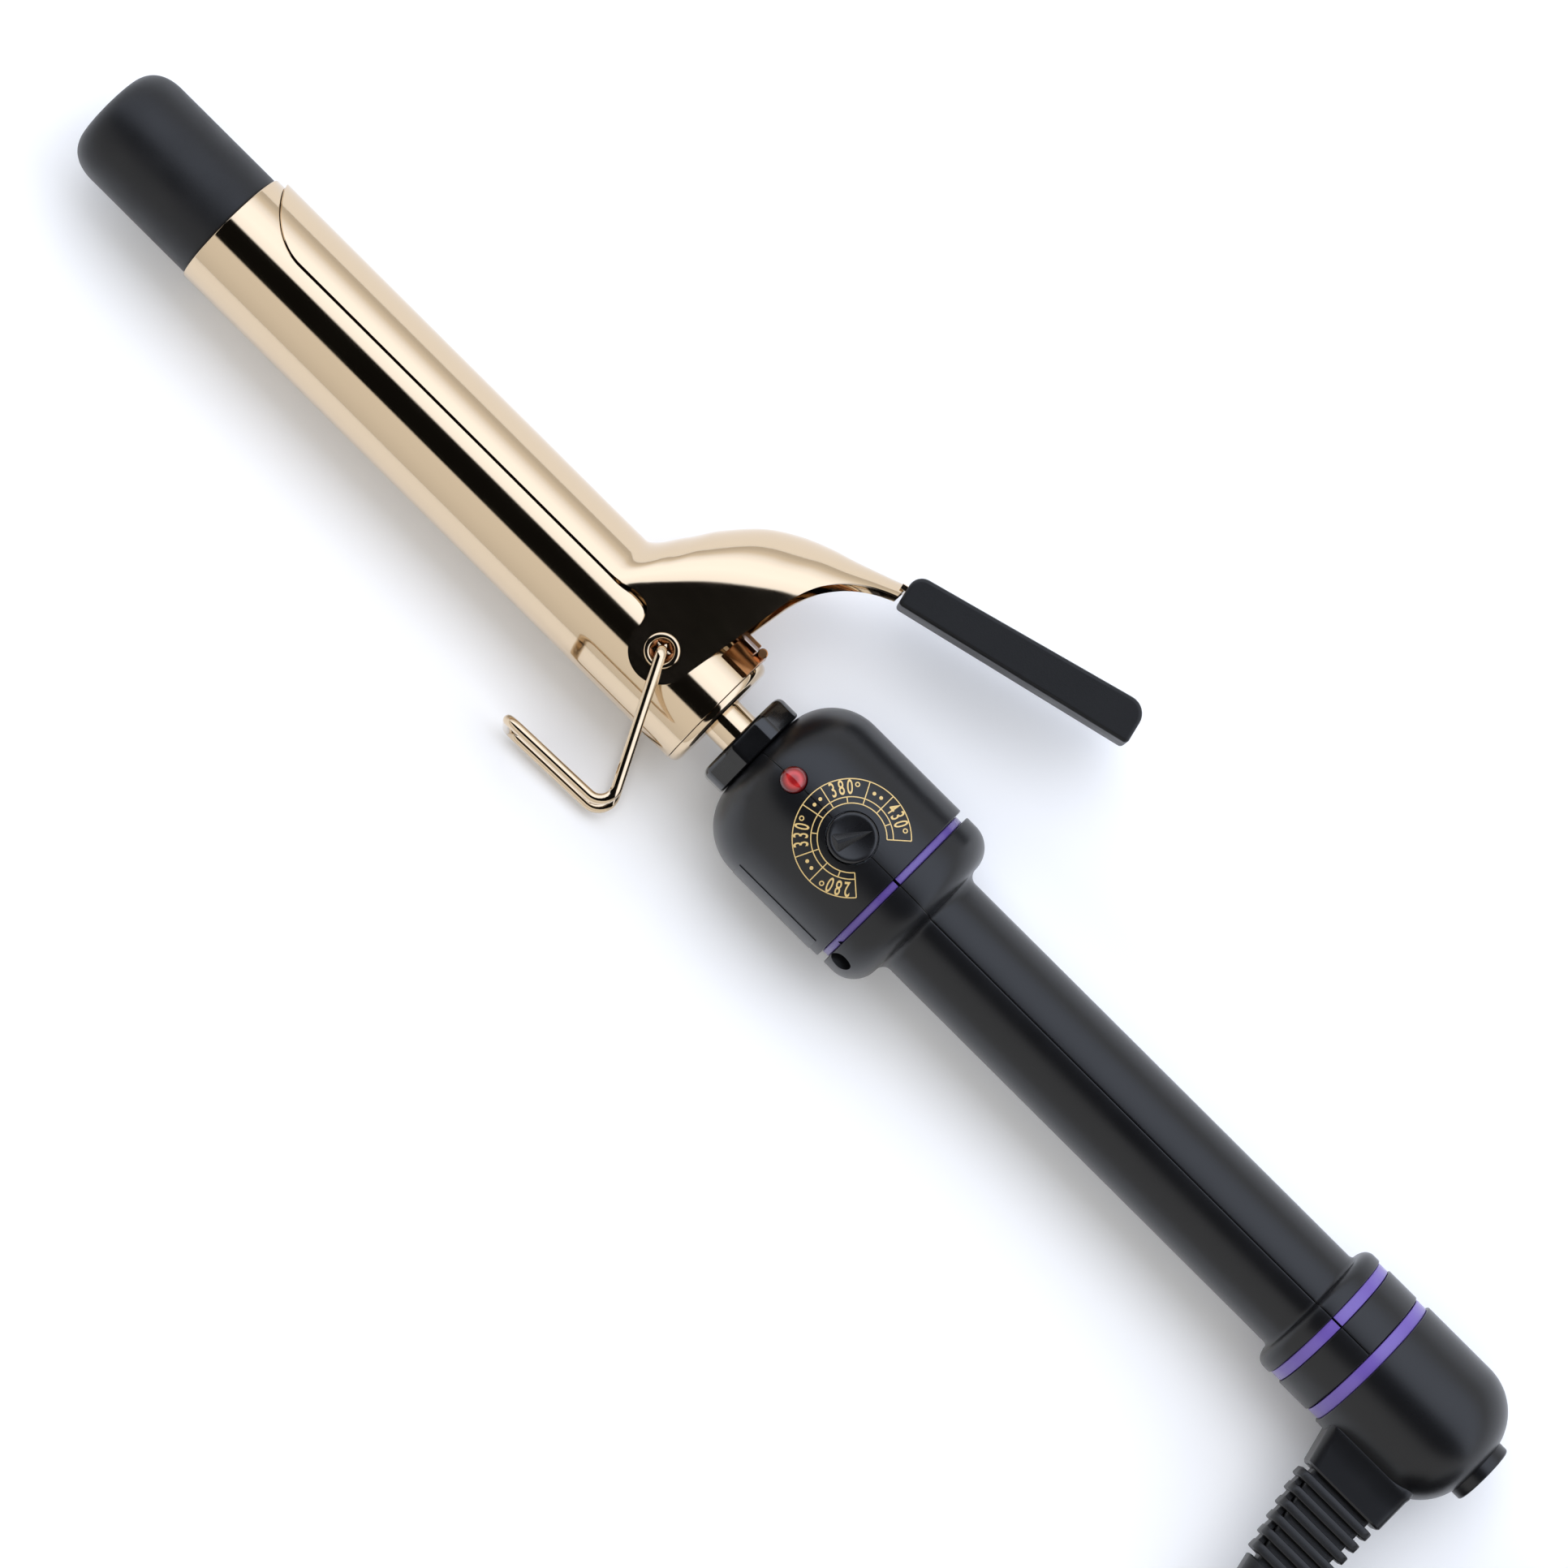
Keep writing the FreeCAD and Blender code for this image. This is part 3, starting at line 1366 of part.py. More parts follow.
print("size", round(extent.XLength, 2), round(extent.YLength, 2), round(extent.ZLength, 2))
for label, place in (
    ("barrel axis at tip joint", V(0, 0, 0)),
    ("pivot", V(x_pivot, 0, 0)),
    ("dial", V(x_dial, 0, HEAD_R)),
    ("rocker axle", V(switch_middle(), 0, rocker_axis_z())),
    ("swivel", V(x_swivel, 0, 0)),
    ("guard end", V(guard_middle(guard_end()), guard_end(), 0)),
    ("coil middle", coil_centre()),
    ("plug back", plug_back()),
):
    print(label, [round(c, 3) for c in (place - origin_shift)])
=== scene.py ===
import math
import bmesh
import bpy
from mathutils import Matrix, Vector


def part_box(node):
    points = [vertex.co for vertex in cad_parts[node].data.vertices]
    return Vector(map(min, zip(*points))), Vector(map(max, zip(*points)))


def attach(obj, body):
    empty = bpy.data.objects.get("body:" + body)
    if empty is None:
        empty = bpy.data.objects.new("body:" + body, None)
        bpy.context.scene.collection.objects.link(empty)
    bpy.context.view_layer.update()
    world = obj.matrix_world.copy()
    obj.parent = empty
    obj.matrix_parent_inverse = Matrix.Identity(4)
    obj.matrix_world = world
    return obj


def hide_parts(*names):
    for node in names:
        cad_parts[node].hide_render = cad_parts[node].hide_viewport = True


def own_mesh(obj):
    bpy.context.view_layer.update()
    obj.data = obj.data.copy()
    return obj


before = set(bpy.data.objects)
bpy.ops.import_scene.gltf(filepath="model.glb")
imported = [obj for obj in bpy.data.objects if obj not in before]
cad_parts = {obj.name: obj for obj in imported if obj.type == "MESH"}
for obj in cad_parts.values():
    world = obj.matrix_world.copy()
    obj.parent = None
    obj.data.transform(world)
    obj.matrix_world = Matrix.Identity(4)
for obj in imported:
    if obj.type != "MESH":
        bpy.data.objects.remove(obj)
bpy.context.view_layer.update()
MM = 0.001

# ----------------------------------------
# The iron's axis. Everything on it is turned about one line, from the cool tip to the swivel, so its
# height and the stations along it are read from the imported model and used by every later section.
barrel_low, barrel_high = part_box("barrel_tube")
AXIS_Y = (barrel_low.y + barrel_high.y) / 2
AXIS_Z = (barrel_low.z + barrel_high.z) / 2
X_TIP_JOINT = barrel_low.x


def on_axis(x_mm, y_mm=0.0, z_mm=0.0):
    """A place given in millimetres from the middle of the tip joint, in the row frame in metres."""
    return Vector((X_TIP_JOINT + x_mm * MM, AXIS_Y + y_mm * MM, AXIS_Z + z_mm * MM))


# ----------------------------------------
# The table top, light and camera. A white board under one wide soft panel, nearly overhead, in a bright
# room with a dark band over the iron, which polished plating shows as the long stripe down its middle.
VIEW_DISTANCE = 1.5246
VIEW_LEAN_X = math.radians(0.7)
VIEW_LEAN_Y = math.radians(-3.5)
VIEW_ROLL = math.radians(44.84)
VIEW_MIDDLE = on_axis(149.1, -0.7)
FRAME_ACROSS = 297.528 * MM
SENSOR = 36.0


def linear(hex_colour):
    """An sRGB hex colour as linear red, green, blue and alpha."""
    channels = [int(hex_colour[i:i + 2], 16) / 255 for i in (1, 3, 5)]
    straight = [c / 12.92 if c <= 0.04045 else ((c + 0.055) / 1.055) ** 2.4 for c in channels]
    return (*straight, 1.0)


def add_node(tree, kind, links=(), **settings):
    """Adds one node. A setting named in_NAME fills the input called NAME (underscores are spaces) and any
    other setting is the node's own; links are (socket it comes from, name or number of input)."""
    new = tree.nodes.new(kind)
    for key, value in settings.items():
        if key.startswith("in_"):
            name = key[3:].replace("_", " ")
            new.inputs[int(name) if name.isdigit() else name].default_value = value
        else:
            setattr(new, key, value)
    for socket, name in links:
        tree.links.new(socket, new.inputs[name])
    return new


def placed(name, data):
    """Puts a new object with this data in the scene."""
    obj = bpy.data.objects.new(name, data)
    bpy.context.collection.objects.link(obj)
    return obj


toward_camera = Vector((math.sin(VIEW_LEAN_X), math.sin(VIEW_LEAN_Y), 1.0))
toward_camera.z = math.sqrt(1 - toward_camera.x ** 2 - toward_camera.y ** 2)
image_up = Vector((-math.sin(VIEW_ROLL), math.cos(VIEW_ROLL), 0))
image_right = image_up.cross(toward_camera).normalized()
image_up = toward_camera.cross(image_right)
camera_data = bpy.data.cameras.new("view")
camera_data.sensor_width = SENSOR
camera_data.lens = SENSOR * VIEW_DISTANCE / FRAME_ACROSS
camera_data.clip_end = 20.0
camera = placed("view", camera_data)
camera_turn = Matrix((image_right, image_up, toward_camera)).transposed().to_4x4()
camera.matrix_world = Matrix.Translation(VIEW_MIDDLE + toward_camera * VIEW_DISTANCE) @ camera_turn
bpy.context.scene.camera = camera

# The one lamp: a soft panel that the plating doesn't mirror.
KEY_SIZE = 1.8
KEY_WATTS = 21.0
KEY_PLACE = on_axis(150, 300, 1900)
KEY_AIM = on_axis(150)
key_data = bpy.data.lights.new("key", "AREA")
key_data.size = KEY_SIZE
key_data.energy = KEY_WATTS
key = placed("key", key_data)
key.location = KEY_PLACE
key.rotation_euler = (KEY_PLACE - KEY_AIM).to_track_quat("Z", "Y").to_euler()
key.visible_glossy = False

# The room as the plating sees it, by the angle over the iron from straight up towards the lever's side:
# each pair is an angle in degrees and a brightness. What is brighter than the table is a cool soft box.
ROOM_BANDS = (
    *((-180, 0.6), (-120, 0.68), (-90, 0.82), (-60, 0.95), (-33, 1.0), (-31, 0.006), (8, 0.006)),
    *((10, 1.6), (30, 1.8), (50, 1.75), (62, 1.45), (73, 1.0), (84, 0.75), (180, 0.6)),
)
COOL = (0.94, 1.02, 1.2)
TABLE_BRIGHT = 1.0
BRIGHTEST = 2.0


def fill_ramp(ramp, stops):
    """Gives a colour ramp its stops: pairs of a place and a linear colour."""
    while len(ramp.elements) > 1:
        ramp.elements.remove(ramp.elements[0])
    for i, (place, colour) in enumerate(stops):
        stop = ramp.elements[0] if i == 0 else ramp.elements.new(place)
        stop.position = place
        stop.color = colour


def spread(tree, value, first, last, to_first=0.0, to_last=1.0):
    """Maps a value from one range to another."""
    ranges = {"in_From_Min": first, "in_From_Max": last, "in_To_Min": to_first, "in_To_Max": to_last}
    return add_node(tree, "ShaderNodeMapRange", [(value, "Value")], **ranges).outputs[0]


def room_colour(brightness):
    """A band's colour, as a share of the brightest that the room can be."""
    tint = COOL if brightness > TABLE_BRIGHT else (1, 1, 1)
    return (*(brightness * t / BRIGHTEST for t in tint), 1)


world = bpy.data.worlds.new("studio")
world.use_nodes = True
sky = world.node_tree
sky.nodes.clear()
direction = add_node(sky, "ShaderNodeTexCoord")
apart = add_node(sky, "ShaderNodeSeparateXYZ", [(direction.outputs["Generated"], 0)])
over = [(apart.outputs["Y"], 0), (apart.outputs["Z"], 1)]
angle = add_node(sky, "ShaderNodeMath", over, operation="ARCTAN2").outputs[0]
bands = add_node(sky, "ShaderNodeValToRGB", [(spread(sky, angle, -math.pi, math.pi), "Fac")])
fill_ramp(bands.color_ramp, [((degrees + 180) / 360, room_colour(bright)) for degrees, bright in ROOM_BANDS])
background = add_node(sky, "ShaderNodeBackground", [(bands.outputs["Color"], "Color")], in_Strength=BRIGHTEST)
add_node(sky, "ShaderNodeOutputWorld", [(background.outputs[0], "Surface")])
bpy.context.scene.world = world
bpy.context.scene.view_settings.view_transform = "Standard"

SMOOTH = 32.0


def shade(mesh, smooth=SMOOTH):
    """Shades a mesh smooth except across edges sharper than the given angle in degrees."""
    mesh.shade_smooth()
    mesh.set_sharp_from_angle(angle=math.radians(smooth))


def finish_mesh(name, mesh, materials=(), smooth=SMOOTH):
    """Puts a mesh in the scene with its materials and its shading."""
    for material in materials:
        mesh.materials.append(material)
    shade(mesh, smooth)
    return placed(name, mesh)


def new_material(name, colour):
    """A new material of an sRGB colour, with its node tree and its shader."""
    material = bpy.data.materials.new(name)
    material.use_nodes = True
    shader = material.node_tree.nodes["Principled BSDF"]
    shader.inputs["Base Color"].default_value = linear(colour)
    return material, material.node_tree, shader


def noise(tree, where, size_mm, detail, **settings):
    """Noise whose marks are about so many millimetres across."""
    settings.update(in_Scale=1 / (size_mm * MM), in_Detail=detail)
    return add_node(tree, "ShaderNodeTexNoise", [(where, "Vector")], **settings).outputs["Fac"]


def relief(tree, shader, height, strength, depth_mm):
    """Raises a shader's surface where a value is high."""
    depth = depth_mm * MM
    bump = add_node(tree, "ShaderNodeBump", [(height, "Height")], in_Strength=strength, in_Distance=depth)
    tree.links.new(bump.outputs["Normal"], shader.inputs["Normal"])


MOTTLE_MM = 9
GRAIN_DEPTH_MM = 0.05
COAT_ROUGHNESS = 0.06


def plastic(name, colour, roughness, grain_mm=0.0, grain_depth=0.0, mottle=0.06, coat=0.0, ior=1.5):
    """A moulded plastic. grain_mm is the size of the mould's spark texture, and mottle how far its
    roughness wanders over a few millimetres, as handling and mould wear leave it."""
    material, tree, shader = new_material(name, colour)
    shader.inputs["IOR"].default_value = ior
    shader.inputs["Roughness"].default_value = roughness
    shader.inputs["Coat Weight"].default_value = coat
    shader.inputs["Coat Roughness"].default_value = COAT_ROUGHNESS
    where = add_node(tree, "ShaderNodeTexCoord").outputs["Object"]
    if mottle:
        wander = noise(tree, where, MOTTLE_MM, 4.0)
        gloss = spread(tree, wander, 0.3, 0.7, roughness - mottle, roughness + mottle)
        tree.links.new(gloss, shader.inputs["Roughness"])
    if grain_mm:
        relief(tree, shader, noise(tree, where, grain_mm, 3.0, in_Roughness=0.6), grain_depth, GRAIN_DEPTH_MM)
    return material


BOARD_REACH = 6.0
BOARD_DROP = 0.0002
board_mesh = bpy.data.meshes.new("table_board")
board_corners = [(x * BOARD_REACH, y * BOARD_REACH, 0) for x, y in ((-1, -1), (1, -1), (1, 1), (-1, 1))]
board_mesh.from_pydata(board_corners, [], [(0, 1, 2, 3)])
board = finish_mesh("table_board", board_mesh, [plastic("white_board", "#F7F7F7", 0.7, mottle=0.0)])
board.location.z = -BOARD_DROP

# ----------------------------------------
# The mains cord. Round black flexible cord, 7 mm over its sheath, 2.4 m long: straight out of the
# guard, down to the table, and wound by hand into a neat coil that a strap holds.
CORD_D = 7.0 * MM
coil_low, coil_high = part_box("cord_coil")
plug_low, plug_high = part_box("plug_body")
coil_x = (coil_low.x + coil_high.x) / 2
coil_y = (coil_low.y + coil_high.y) / 2
middle_turn_r = (coil_high.x - coil_low.x) / 2 - 1.5 * CORD_D
# Row and layer of each turn, in the order that it is wound: row 0 is the outside, layer 0 the table.
TURNS = ((0, 0), (1, 0), (2, 0), (2, 1), (1, 1), (0, 1), (0, 2), (1, 2), (2, 2))
STEPS_PER_TURN = 24
LAST_STEPS = 14
SHIFT_FROM = 0.55
# From the guard, straight out, round and down to the outside turn, in metres.
ROUTE = (
    (0.17037, -0.05052, 0.0193),
    (0.17037, -0.07522, 0.0193),
    (0.18267, -0.09652, 0.01298),
    (0.20397, -0.10882, 0.00603),
)
# From the last turn up and over the coil to the plug: angle, radius and height in degrees and metres.
TAIL = (
    (130, 0.0315, 0.0198),
    (150, 0.0320, 0.0226),
    (170, 0.0338, 0.0248),
    (190, 0.0376, 0.0260),
    (212, 0.0394, 0.0270),
    (234, 0.0390, 0.0283),
)


def turn_place(index):
    """Radius and height of a turn's middle line."""
    row, layer = TURNS[min(index, len(TURNS) - 1)]
    return middle_turn_r + (1 - row) * CORD_D, CORD_D * (layer + 0.5)


def round_coil(degrees, radius, height):
    turn = math.radians(degrees)
    return (coil_x + radius * math.cos(turn), coil_y + radius * math.sin(turn), height)


def coil_points():
    """The turns, wound anticlockwise from the coil's near side; each eases over to the next at its end."""
    points = []
    for i in range((len(TURNS) - 1) * STEPS_PER_TURN + LAST_STEPS):
        turn, part = divmod(i / STEPS_PER_TURN, 1)
        here = turn_place(int(turn))
        there = turn_place(int(turn) + 1)
        ease = max((part - SHIFT_FROM) / (1 - SHIFT_FROM), 0)
        ease = ease * ease * (3 - 2 * ease)
        radius = here[0] + (there[0] - here[0]) * ease
        height = here[1] + (there[1] - here[1]) * ease
        points.append(round_coil(360 * part - 90, radius, height))
    return points


plug_y = (plug_low.y + plug_high.y) / 2
plug_z = (plug_low.z + plug_high.z) / 2
cord_curve = bpy.data.curves.new("mains_cord", "CURVE")
cord_curve.dimensions = "3D"
cord_curve.bevel_depth = CORD_D / 2
cord_curve.bevel_resolution = 5
cord_curve.resolution_u = 4
cord_curve.use_fill_caps = True
spline = cord_curve.splines.new("NURBS")
route = list(ROUTE) + coil_points() + [round_coil(*place) for place in TAIL]
# It comes to the plug along the plug's own line, a hair low, and ends inside it.
route.append((plug_low.x - 6 * MM, plug_y, plug_z - 0.3 * MM))
route.append((plug_low.x + 3 * MM, plug_y, plug_z))
spline.points.add(len(route) - 1)
for point, place in zip(spline.points, route):
    point.co = (*place, 1.0)
spline.order_u = 3
spline.use_endpoint_u = True
# Extruded PVC: a satin skin with the faint orange-peel that the die leaves.
pvc_sheath = plastic("extruded_pvc_sheath", "#0F0F10", 0.42, grain_mm=0.6, grain_depth=0.15)
cord_curve.materials.append(pvc_sheath)
mains_cord = placed("mains_cord", cord_curve)
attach(mains_cord, "swivel")
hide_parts("power_cord", "cord_coil")

# ----------------------------------------
# Plug and tie. A two-blade polarised plug moulded on the cord in soft PVC, with rings on its neck that
# let the cord bend; a plain strap is wrapped once round the coil and holds it together.


def bezier(poles, steps=10):
    """Points along a Bezier curve, without its first."""
    points = []
    for i in range(1, steps + 1):
        row = [Vector(p) for p in poles]
        while len(row) > 1:
            row = [a.lerp(b, i / steps) for a, b in zip(row, row[1:])]
        points.append(tuple(row[0]))
    return points


def arc(centre, radius, first, last, steps=8):
    """Points on a circle between two angles in degrees, both ends included."""
    points = []
    for i in range(steps + 1):
        turn = math.radians(first + (last - first) * i / steps)
        points.append((centre[0] + radius * math.cos(turn), centre[1] + radius * math.sin(turn)))
    return points


EASE_ABOVE = 25.0


def eased(outline, radius, steps=4):
    """A closed outline with an arc of at most radius at each corner that turns more than EASE_ABOVE."""
    points = []
    count = len(outline)
    for i, corner in enumerate(outline):
        here = Vector(corner)
        back = Vector(outline[i - 1]) - here
        ahead = Vector(outline[(i + 1) % count]) - here
        if min(back.length, ahead.length) < 1e-6 or math.degrees(back.angle(ahead)) > 180 - EASE_ABOVE:
            points.append(tuple(here))
            continue
        take = min(radius / math.tan(back.angle(ahead) / 2), 0.45 * back.length, 0.45 * ahead.length)
        start = here + back.normalized() * take
        end = here + ahead.normalized() * take
        points.append(tuple(start))
        points.extend(bezier([start, start.lerp(here, 0.55), end.lerp(here, 0.55), end], steps))
    return points


WELD = 0.001 * MM


def mesh_piece(name, points, faces, materials, smooth=SMOOTH):
    """A piece from points in millimetres about the iron's axis, welded and with its faces outwards."""
    form = bmesh.new()
    corners = [form.verts.new(on_axis(*p)) for p in points]
    for face in faces:
        form.faces.new([corners[i] for i in face])
    bmesh.ops.remove_doubles(form, verts=form.verts, dist=WELD)
    bmesh.ops.dissolve_degenerate(form, edges=form.edges, dist=WELD)
    bmesh.ops.delete(form, geom=[edge for edge in form.edges if not edge.link_faces], context="EDGES")
    bmesh.ops.recalc_face_normals(form, faces=form.faces)
    mesh = bpy.data.meshes.new(name)
    form.to_mesh(mesh)
    form.free()
    return finish_mesh(name, mesh, materials, smooth)


def plain_mesh(obj):
    """A new mesh of an object as its modifiers leave it."""
    bpy.context.view_layer.update()
    return bpy.data.meshes.new_from_object(obj.evaluated_get(bpy.context.evaluated_depsgraph_get()))


def baked(obj):
    """Applies a piece's modifiers, so that it is a plain mesh."""
    made = plain_mesh(obj)
    obj.modifiers.clear()
    old = obj.data
    obj.data = made
    bpy.data.meshes.remove(old)
    made.name = obj.name
    return obj


def cut(obj, *tools, join=False):
    """Takes the tools' shapes out of a piece, or joins them to it, and removes the tools."""
    for tool in tools:
        knife = obj.modifiers.new("cut", "BOOLEAN")
        knife.operation = "UNION" if join else "DIFFERENCE"
        knife.solver = "EXACT"
        knife.object = tool
    baked(obj)
    for tool in tools:
        bpy.data.objects.remove(tool)
    obj.data.set_sharp_from_angle(angle=math.radians(SMOOTH))
    return obj


def as_drawn(x, y, z):
    """Pieces lie as they are drawn unless they are given another way to lie."""
    return (x, y, z)


def softened(obj, width, segments=3):
    """Rounds a piece's sharp edges."""
    rounding = obj.modifiers.new("rounding", "BEVEL")
    rounding.width = width * MM
    rounding.segments = segments
    rounding.limit_method = "ANGLE"
    rounding.angle_limit = math.radians(50)
    rounding.harden_normals = True
    return baked(obj)


def bridge(one, two, count):
    """Faces between two closed loops of as many points, given by where each loop starts."""
    return [(one + i, one + (i + 1) % count, two + (i + 1) % count, two + i) for i in range(count)]


def slab(name, outline, z0, z1, materials, edge=0.3, segments=3, lay=as_drawn, hole=None):
    """A piece with the same outline from z0 to z1, its edges rounded; a hole has as many points."""
    count = len(outline)
    loops = [outline, hole] if hole else [outline]
    points = [lay(x, y, z) for loop in loops for z in (z0, z1) for x, y in loop]
    faces = []
    for start in range(0, len(points), 2 * count):
        faces += bridge(start, start + count, count)
    if hole:
        faces += bridge(0, 2 * count, count) + bridge(count, 3 * count, count)
    else:
        faces += [tuple(range(count)), tuple(range(2 * count - 1, count - 1, -1))]
    obj = mesh_piece(name, points, faces, materials)
    return softened(obj, edge, segments) if edge else obj


def rounded_loop(half_u, half_v, corner, middle=(0.0, 0.0)):
    """A rectangle with round corners, always with the same number of points."""
    loop = []
    for su, sv, first in ((1, 1, 0), (-1, 1, 90), (-1, -1, 180), (1, -1, 270)):
        centre = (middle[0] + su * (half_u - corner), middle[1] + sv * (half_v - corner))
        loop += arc(centre, corner, first, first + 90, 6)
    return loop


def loft(name, sections, materials, lay=as_drawn, smooth=SMOOTH):
    """A closed piece through sections, each a height and a loop of as many points."""
    count = len(sections[0][1])
    points = [lay(u, v, height) for height, loop in sections for u, v in loop]
    faces = []
    for i in range(len(sections) - 1):
        faces += bridge(i * count, (i + 1) * count, count)
    faces.append(tuple(range(count)))
    faces.append(tuple(len(points) - 1 - j for j in range(count)))
    return mesh_piece(name, points, faces, materials, smooth)


REPEAT_INPUTS = (
    ("Piece", "NodeSocketObject"),
    ("Count", "NodeSocketInt"),
    ("Step", "NodeSocketVector"),
    ("Turn", "NodeSocketFloat"),
    ("Shrink", "NodeSocketVector"),
    ("Unevenness", "NodeSocketFloat"),
    ("Seed", "NodeSocketInt"),
    ("Material", "NodeSocketMaterial"),
)


def repeat_nodes():
    """Copies a piece so many times: each copy is moved by the step, turned about the upright axis and made
    smaller by the shrink once more than the one before it; unevenness turns each a little more or less."""
    tree = bpy.data.node_groups.new("repeat_piece", "GeometryNodeTree")
    for label, kind in REPEAT_INPUTS:
        tree.interface.new_socket(label, in_out="INPUT", socket_type=kind)
    tree.interface.new_socket("Geometry", in_out="OUTPUT", socket_type="NodeSocketGeometry")
    given = add_node(tree, "NodeGroupInput").outputs
    row = add_node(tree, "GeometryNodeMeshLine", [(given["Count"], "Count")], in_Offset=(0, 0, 0))
    index = add_node(tree, "GeometryNodeInputIndex").outputs[0]
    chance = add_node(tree, "FunctionNodeRandomValue", [(given["Seed"], "Seed")], in_2=-1.0, in_3=1.0)

    def sum_of(one, two, operation, kind="ShaderNodeMath", second=1):
        """A sum on two sockets."""
        return add_node(tree, kind, [(one, 0), (two, second)], operation=operation).outputs[0]

    def by_index(step):
        """A vector times the copy's number."""
        return sum_of(step, index, "SCALE", "ShaderNodeVectorMath", "Scale")

    wander = sum_of(chance.outputs[1], given["Unevenness"], "MULTIPLY")
    turn = sum_of(sum_of(given["Turn"], index, "MULTIPLY"), wander, "ADD")
    angles = add_node(tree, "ShaderNodeCombineXYZ", [(turn, "Z")]).outputs[0]
    less = [(by_index(given["Shrink"]), 1)]
    size = add_node(tree, "ShaderNodeVectorMath", less, operation="SUBTRACT", in_0=(1.0, 1.0, 1.0)).outputs[0]
    source = add_node(tree, "GeometryNodeObjectInfo", [(given["Piece"], "Object")]).outputs["Geometry"]
    places = [(row.outputs[0], "Geometry"), (by_index(given["Step"]), "Position")]
    moved = add_node(tree, "GeometryNodeSetPosition", places).outputs[0]
    copied = [(moved, "Points"), (source, "Instance"), (angles, "Rotation"), (size, "Scale")]
    copies = add_node(tree, "GeometryNodeInstanceOnPoints", copied)
    real = add_node(tree, "GeometryNodeRealizeInstances", [(copies.outputs[0], 0)])
    finish = [(real.outputs[0], "Geometry"), (given["Material"], "Material")]
    painted = add_node(tree, "GeometryNodeSetMaterial", finish)
    add_node(tree, "NodeGroupOutput", [(painted.outputs[0], 0)])
    return tree


repeat_tree = repeat_nodes()


def repeated(name, source, material, place, **values):
    """A plain mesh of a piece's copies. The piece is drawn about the middle of the tip joint, is used up,
    and its first copy is moved to the place in millimetres; a step is in metres and a turn in radians."""
    source.data.transform(Matrix.Translation(-on_axis(0)))
    holder = placed(name, bpy.data.meshes.new(name))
    nodes = holder.modifiers.new("repeat", "NODES")
    nodes.node_group = repeat_tree
    sockets = {s.name: s.identifier for s in repeat_tree.interface.items_tree if s.in_out == "INPUT"}
    nodes[sockets["Piece"]] = source
    nodes[sockets["Material"]] = material
    for label, value in {"Seed": 1, **values}.items():
        nodes[sockets[label]] = value
    baked(holder)
    bpy.data.objects.remove(source)
    holder.data.transform(Matrix.Translation(on_axis(*place)))
    shade(holder.data)
    return holder


RUBBING_MM = 0.35
RUBBING_DEPTH_MM = 0.004
CLOUD_MM = 14


def plated(name, colour, roughness, wear=0.03):
    """Polished metal: its rubbing marks run along the iron, and handling leaves faint cloudy patches."""
    material, tree, shader = new_material(name, colour)
    shader.inputs["Metallic"].default_value = 1.0
    where = add_node(tree, "ShaderNodeTexCoord").outputs["Object"]
    drawn_out = add_node(tree, "ShaderNodeMapping", [(where, "Vector")], in_Scale=(0.03, 1.0, 1.0)).outputs[0]
    rubbed = noise(tree, drawn_out, RUBBING_MM, 4.0)
    marks = [(rubbed, 0), (noise(tree, where, CLOUD_MM, 3.0), 1)]
    both = add_node(tree, "ShaderNodeMath", marks, operation="MULTIPLY").outputs[0]
    gloss = spread(tree, both, 0.12, 0.38, roughness, roughness + wear)
    tree.links.new(gloss, shader.inputs["Roughness"])
    relief(tree, shader, rubbed, 0.05, RUBBING_DEPTH_MM)
    return material


def ends(node, axis="x"):
    """A node's lowest and highest place along one axis, in millimetres from the middle of the tip joint."""
    middle = on_axis(0)
    return [(getattr(corner, axis) - getattr(middle, axis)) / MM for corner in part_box(node)]


def along_x(u, v, height):
    """Sections stand across the iron and their heights run along it."""
    return (height, u, v)


x_plug, x_plug_face = ends("plug_body")
plug_low_y, plug_high_y = ends("plug_body", "y")
plug_low_z, plug_high_z = ends("plug_body", "z")
plug_middle = ((plug_low_y + plug_high_y) / 2, (plug_low_z + plug_high_z) / 2)
# Distance from the back, half the width, half the height and the corner's radius.
PLUG_SHAPE = (
    (0.0, 4.6, 4.6, 4.5),
    (0.8, 5.2, 5.2, 5.1),
    (8.0, 6.0, 6.0, 5.6),
    (10.5, 7.6, 6.7, 5.6),
    (13.0, 9.6, 7.4, 5.2),
    (16.0, 10.5, 7.8, 4.8),
    (22.0, 11.2, 8.1, 4.4),
    (28.4, 12.0, 8.5, 4.0),
    (29.5, 11.7, 8.2, 3.7),
    (30.0, 11.0, 7.5, 3.0),
)
moulded_pvc = plastic("moulded_pvc", "#101011", 0.5, grain_mm=0.3, grain_depth=0.3)
plug_sections = [(x_plug + s[0], rounded_loop(s[1], s[2], s[3], plug_middle)) for s in PLUG_SHAPE]
plug = loft("plug_moulding", plug_sections, [moulded_pvc], along_x)
# Distance from a ring's middle and its half width there.
NECK_RING = ((-0.6, 5.9), (-0.45, 6.5), (0.0, 6.7), (0.45, 6.5), (0.6, 5.9))
NECK_START = 2.0
NECK_PITCH = 2.1
neck_ring = loft("neck_ring", [(h, rounded_loop(r, r, r - 0.1)) for h, r in NECK_RING], [], along_x)
neck_place = (x_plug + NECK_START, *plug_middle)
neck_step = (NECK_PITCH * MM, 0, 0)
neck_rings = repeated("plug_neck_rings", neck_ring, moulded_pvc, neck_place, Count=3, Step=neck_step)

BLADE_SHEET = 1.5
BLADE_SPACING = 12.7
BLADE_WIDTHS = (6.35, 7.9)
BLADE_HOLE_R = 1.5
BLADE_HOLE_INSET = 4.0
BLADE_ROOT = 0.6
BLADE_CHAMFER = 1.2
x_blade_tip = ends("plug_blades")[1]


